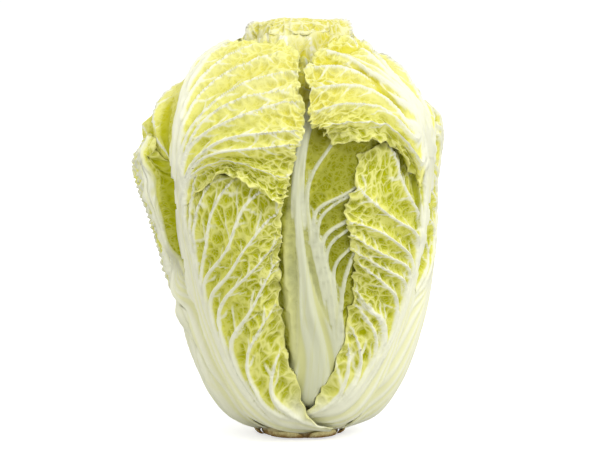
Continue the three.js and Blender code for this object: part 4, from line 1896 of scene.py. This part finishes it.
WRAPPERS = (
    LeafPlan(
        "outer_leaf_left", -80, -80, 22, 8, (0, 4, 8, 10.5, 11.2, 13.2, 13, 8),
        (6, 26, 36, 42, 44, 42, 34, 18), (5, 10.5, 13, 14.5, 16.2, 19, 21, 18),
        seed=1, ruffle=2.0, frill=BARE_FRILL,
        veins=VeinPlan(
            petiole=(30, 28, 22, 8, 1.6, 1.6, 1.5, 1), right=((-66, 12), (-58, 12), (-48, 12), (-38, 10)),
            left=((-62, 14), (-54, 18), (-44, 24), (-34, 30), (-24, 34), (-14, 34), (-5, 30), (5, 22)),
        ),
        creases=(
            Crease(((18, 20, 3), (19, 6, 3.5), (18.5, -8, 3.5), (16, -20, 3), (14, -30, 1)), 2.2, 0.8),
        ),
        hug=(0.3, 1, 1, 1, 0.9, 0.7, 0.6), tip_hug=0.6,
        inset=(1.5, 1.7, 2, 2.2, 2.3, 4.3, 1, 0, 0.8, 2.2, 3.5, 3.3, 3, 2, 1),
        smooth_side=Side.RIGHT, ridges=9.0,
    ),
    LeafPlan(
        "outer_leaf_right", 90, -80, 36, 10, (0, 0, 2),
        (5, 13, 16, 17, 16, 14, 11, 6), (6, 24, 34, 40, 42, 40, 32, 16),
        seed=2, veins=VeinPlan(laterals=13, petiole=BARE_MARGIN), ruffle=1.5, frill=BARE_FRILL,
        hug=(0.3, 1, 1, 1, 1, 0.9, 0.8), tip_hug=0.8, inset=(0, 0, 1, 3, 5, 2.5),
        smooth_side=Side.LEFT, ridges=9.0,
    ),
    LeafPlan(
        "outer_leaf_back", 176, -80, 40, 14, (0, 0, 2),
        (6, 25, 35, 42, 44, 42, 34, 18), (6, 25, 36, 42, 45, 42, 33, 18), spacing=1.5, seed=3, sag=8.0,
    ),
    LeafPlan(
        "crown_leaf_back", 180, -79.5, 107, 12, (0, 0, 3),
        (8, 32, 45, 48, 46, 39, 29, 18), (8, 32, 46, 49, 46, 38, 28, 18), spacing=1.4, seed=4, press=2.0,
        veins=VeinPlan(laterals=9, highest=0.7, petiole=(17, 13, 9, 6, 3, 0.8, 0.05, 0.05)),
        hug=CLOSED, tip_hug=0.3, sag=14.0, inset=(0, 0, 0, 0, 0, -1, -2, -2), look=Look.CROWN,
    ),
    LeafPlan(
        "wrapper_leaf_left", -55, -80, 66, 4, (0, -2, -2, 2, 6.5, 6, -4.5, -9),
        (9.5, 28, 36, 42, 45, 44, 38, 24), (14, 26.5, 40, 49.5, 54, 54, 49, 29), spacing=1.0, seed=5,
        pleat=Pleat(Side.RIGHT, 0.53, 0.2, (3, 8, 13, 11.5, 6, 1), lip_height=5.5),
        creases=(
            Crease(((0, -14, 0), (0.5, -4, 3), (-1, 10, 4), (-6, 22, 4), (-13, 34, 2)), 2.4),
            Crease(((-12, 8, 1), (-17, 16, 3), (-21, 24, 4), (-25, 34, 2)), 2.4),
            Crease(((-9, 8, -1), (-13.5, 22, -2.5), (-18, 36, -1)), 1.8, 0.7),
            Crease(((-31, 6, -5), (-31, 22, -6.5), (-29, 32, -4), (-26, 44, -0.5)), 9.0, 0.3),
        ),
        veins=VeinPlan(
            petiole=(17, 13, 9.5, 8, 5.2, 2.8, 1.8, 1.2),
            left=((-66, 40), (-54, 44), (-42, 44), (-30, 40), (-16, 36), (-4, 32), (42, 6)),
            right=(
                (-70, 62), (-64, 64), (-58, 64), (-52, 62), (-46, 60), (-40, 56), (-33, 50), (-25, 42),
                (-16, 30), (-2, 82), (-1, 64), (1, 52), (5, 44), (10, 37), (16, 31), (23, 25), (31, 19),
                (41, 12),
            ),
        ),
        frill=(0.5, 0.9, 1, 1, 1, 1), hug=(0.2, 1, 0.8, 0.3, 0, 0), sag=4.5, lobe=9.0,
        inset=(0, 0, 0, 0, 0, 0.5, 2.5, 3), smooth_side=Side.LEFT,
    ),
    LeafPlan(
        "wrapper_leaf_right", 67, -80, 72, 4, (0, 0, 1, 3, 1, -8, -14, -16),
        (14, 24, 35, 44.5, 46, 50, 51, 39), (9.5, 26, 34, 38, 40, 40, 34, 20), spacing=1.0, seed=6,
        pleat=Pleat(
            Side.LEFT, 0.62, 0.18, (-13, -4, 5, 10, 13, 16),
            lip_height=4.5, lip_reach=0.3, tuck=9.0, pull=0.2,
        ),
        creases=(
            Crease(((-7.5, -12, 2), (-8, -2, 3), (-12, 8, 3.5), (-19, 17, 2.5)), 2.2),
            Crease(((-17.5, 34, 1), (-18, 38, 3), (-19.5, 45, 3), (-21.5, 52.5, 3), (-23, 57, 1)), 1.8),
            Crease(((-27.5, 68, 1.5), (-26.5, 62, 3), (-24.5, 57.5, 3), (-22, 53, 1)), 1.6),
            Crease(((-17, 67, 1.5), (-11, 65, 3), (-4, 62, 3), (0, 59, 1)), 1.6),
        ),
        veins=VeinPlan(
            petiole=(17, 13, 10, 9, 7, 5, 3, 1), bare=(1, 1, 1, 1, 1, 0.8, 0.3, 0.1),
            left=(
                (-73, 76), (-69, 76), (-65, 78), (-61, 78), (-57, 78), (-53, 76), (-48, 76), (-43, 74),
                (-38, 72), (-32, 68), (-25, 62), (-17, 54), (-8, 46), (2, 38), (11, 30), (16, 82),
                (20, 62), (26, 46), (34, 32), (46, 18),
            ),
        ),
        frill=(0.6, 1.1, 1.2, 1.2, 1, 1), hug=(0.2, 1, 0.8, 0.3, 0, 0), sag=8.0,
        inset=(0, 0, 0, 0, 0.5, 2.5, 4, 4),
    ),
    LeafPlan(
        "crown_leaf_right", 130, -79.5, 94, 16, (0, 0, -4),
        (9.5, 31, 44, 50, 48, 40, 30, 16), (9.5, 31, 44, 48, 46, 40, 30, 16), spacing=1.5, seed=7,
    ),
    LeafPlan(
        "crown_leaf_left", -132, -79.5, 92, 16, (0, 0, 4),
        (9.5, 31, 44, 50, 48, 40, 30, 16), (9.5, 31, 44, 50, 48, 40, 30, 16), spacing=1.5, seed=8,
    ),
    LeafPlan(
        "front_leaf", 8, -80, 66, 12, (2.8, 1.8, -3.3, -5.8, -5.2, -3.5, 2, 6),
        (9, 22, 31, 39, 43, 41, 34, 22), (9, 22, 31, 37, 40, 38, 32, 20), spacing=1.1, seed=9,
        creases=(
            Crease(((0, -45, 0), (0, -20, 6), (2, 20, 10), (2, 60, 8)), 19.0, 0.35),
            Crease(
                ((-6, -58, -1), (-8, -50, -2), (-11.4, -36, -2.5), (-12.6, -24, -2.5), (-13, -8, -1)),
                2.6, 0.7,
            ),
        ),
        veins=VeinPlan(
            petiole=(14, 10, 10.5, 7, 4, 2, 1, 1), bare=(1, 0.8, 0.35, 0.25, 0.4, 0.8, 1, 1),
            veil=(0.6, 0.55, 0.47, 0.4, 0.32, 0.15, 0, 0), left=((38, 8),),
            right=(
                (-58, 26), (-46, 34), (-38, 42), (-32, 48), (-27, 52), (-20, 56), (-13, 60), (4, 34),
                (34, 16),
            ),
            branch_gap=40.0, stout=1.2, bend=(24, 34), lane=0.4,
        ),
        sag=12.0, ridges=2.5, look=Look.FRONT,
    ),
    LeafPlan(
        "crown_leaf_top", 168, -79.5, 128, 16, (0, 0, 2),
        (9.5, 34, 50, 54, 48, 38, 28, 16), (9.5, 34, 50, 54, 48, 38, 28, 16), spacing=1.8, seed=10,
        creases=(Crease(((22, 100, 2), (14, 112, 3), (2, 116, 3), (-12, 113, 3), (-22, 102, 2)), 2.2),),
        veins=VeinPlan(petiole=(17, 13, 9, 6, 3, 0.8, 0.05, 0.05)), ruffle=2.0, hug=CLOSED, tip_hug=1.0,
        inset=(0, 0, 0, 0, -2, -7, -11, -11), look=Look.CROWN,
    ),
)

HEART_LEAF = LeafPlan(
    "heart_leaf", 0, -79.5, 100, 20, (0, 0, 0),
    (9.5, 38, 56, 64, 64, 58, 46, 24), (9.5, 38, 56, 64, 64, 58, 46, 24), spacing=3.2, grid=(8, 10),
    veins=VeinPlan(laterals=7, branch_gap=16.0), ruffle=2.0, slot=Slot.HEART, look=Look.HEART,
)
HEART_LEAF_COUNT = 11
FIRST_HEART_AZIMUTH = 37.0
GOLDEN_ANGLE = 137.5  # from each heart leaf to the next

TRIMMED_FEET = (
    TrimmedFoot("trimmed_leaf_foot_1", -18, 46, 24.5, 4.2, 4.4, 1),
    TrimmedFoot("trimmed_leaf_foot_2", 33, 44, 24.6, 4.8, 5.0, 2),
    TrimmedFoot("trimmed_leaf_foot_3", 98, 60, 24.5, 3.4, 3.6, 3),
    TrimmedFoot("trimmed_leaf_foot_4", 172, 52, 24.5, 4.0, 4.4, 4),
    TrimmedFoot("trimmed_leaf_foot_5", -96, 62, 24.6, 3.4, 3.6, 5),
)

FINISHES = {
    Look.WRAPPER: LeafFinish(
        "wrapper blade", (250, 250, 226), (241, 239, 108), (184, 187, 0), (247, 245, 160), groove=0.3
    ),
    # Darker than the wrapper finish: painted shade for the front leaf's recess.
    Look.FRONT: LeafFinish(
        "shaded front blade", (224, 226, 194), (212, 210, 80), (150, 152, 0), (219, 220, 126), net=0.9, groove=0.45
    ),
    Look.CROWN: LeafFinish(
        "crown blade", (248, 246, 224), (243, 240, 176), (232, 225, 98), (247, 245, 200)
    ),
    Look.HEART: LeafFinish(
        "heart blade", (248, 246, 222), (246, 240, 168), (226, 218, 90), (250, 247, 205)
    ),
}
STEM_FINISH = FleshFinish("cut stem", (228, 216, 164), (164, 132, 80))
TRIMMED_FINISH = FleshFinish("dried leaf base", (220, 208, 152), (150, 116, 62))


def heart_plans() -> list[LeafPlan]:
    """Plans the heart's leaves, each turned on from the last.

    Returns:
        The plans, outermost first.
    """
    plans = []
    for i in range(HEART_LEAF_COUNT):
        azimuth = FIRST_HEART_AZIMUTH + GOLDEN_ANGLE * i
        plan = replace(HEART_LEAF, name=f"heart_leaf_{i + 1:02d}", azimuth=azimuth, seed=20 + i)
        plans.append(plan)
    return plans


def main() -> None:
    """Builds the stage and the head, piece by piece."""
    logging.basicConfig(level=logging.INFO, format="%(name)s: %(message)s")
    Studio().set_up()
    relief = LeafRelief()
    pattern = LeafPattern(relief.cell)
    finishes = {look: finish.make(pattern) for look, finish in FINISHES.items()}
    hearts = heart_plans()
    head = PackedHead([plan.name for plan in (*WRAPPERS, *hearts)] + ["heart_bud"])
    above: list[BVHTree] = []
    for plan in (*WRAPPERS, *hearts):
        Leaf(plan, head, relief, finishes[plan.look]).build(above)
    Bud("heart_bud", head).build(finishes[Look.HEART])
    flesh = CutFlesh()
    Stem("stem").build(flesh, STEM_FINISH.make())
    dried = TRIMMED_FINISH.make()
    for foot in TRIMMED_FEET:
        foot.build(flesh, dried)


if __name__ == "__main__":
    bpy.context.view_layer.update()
    main()
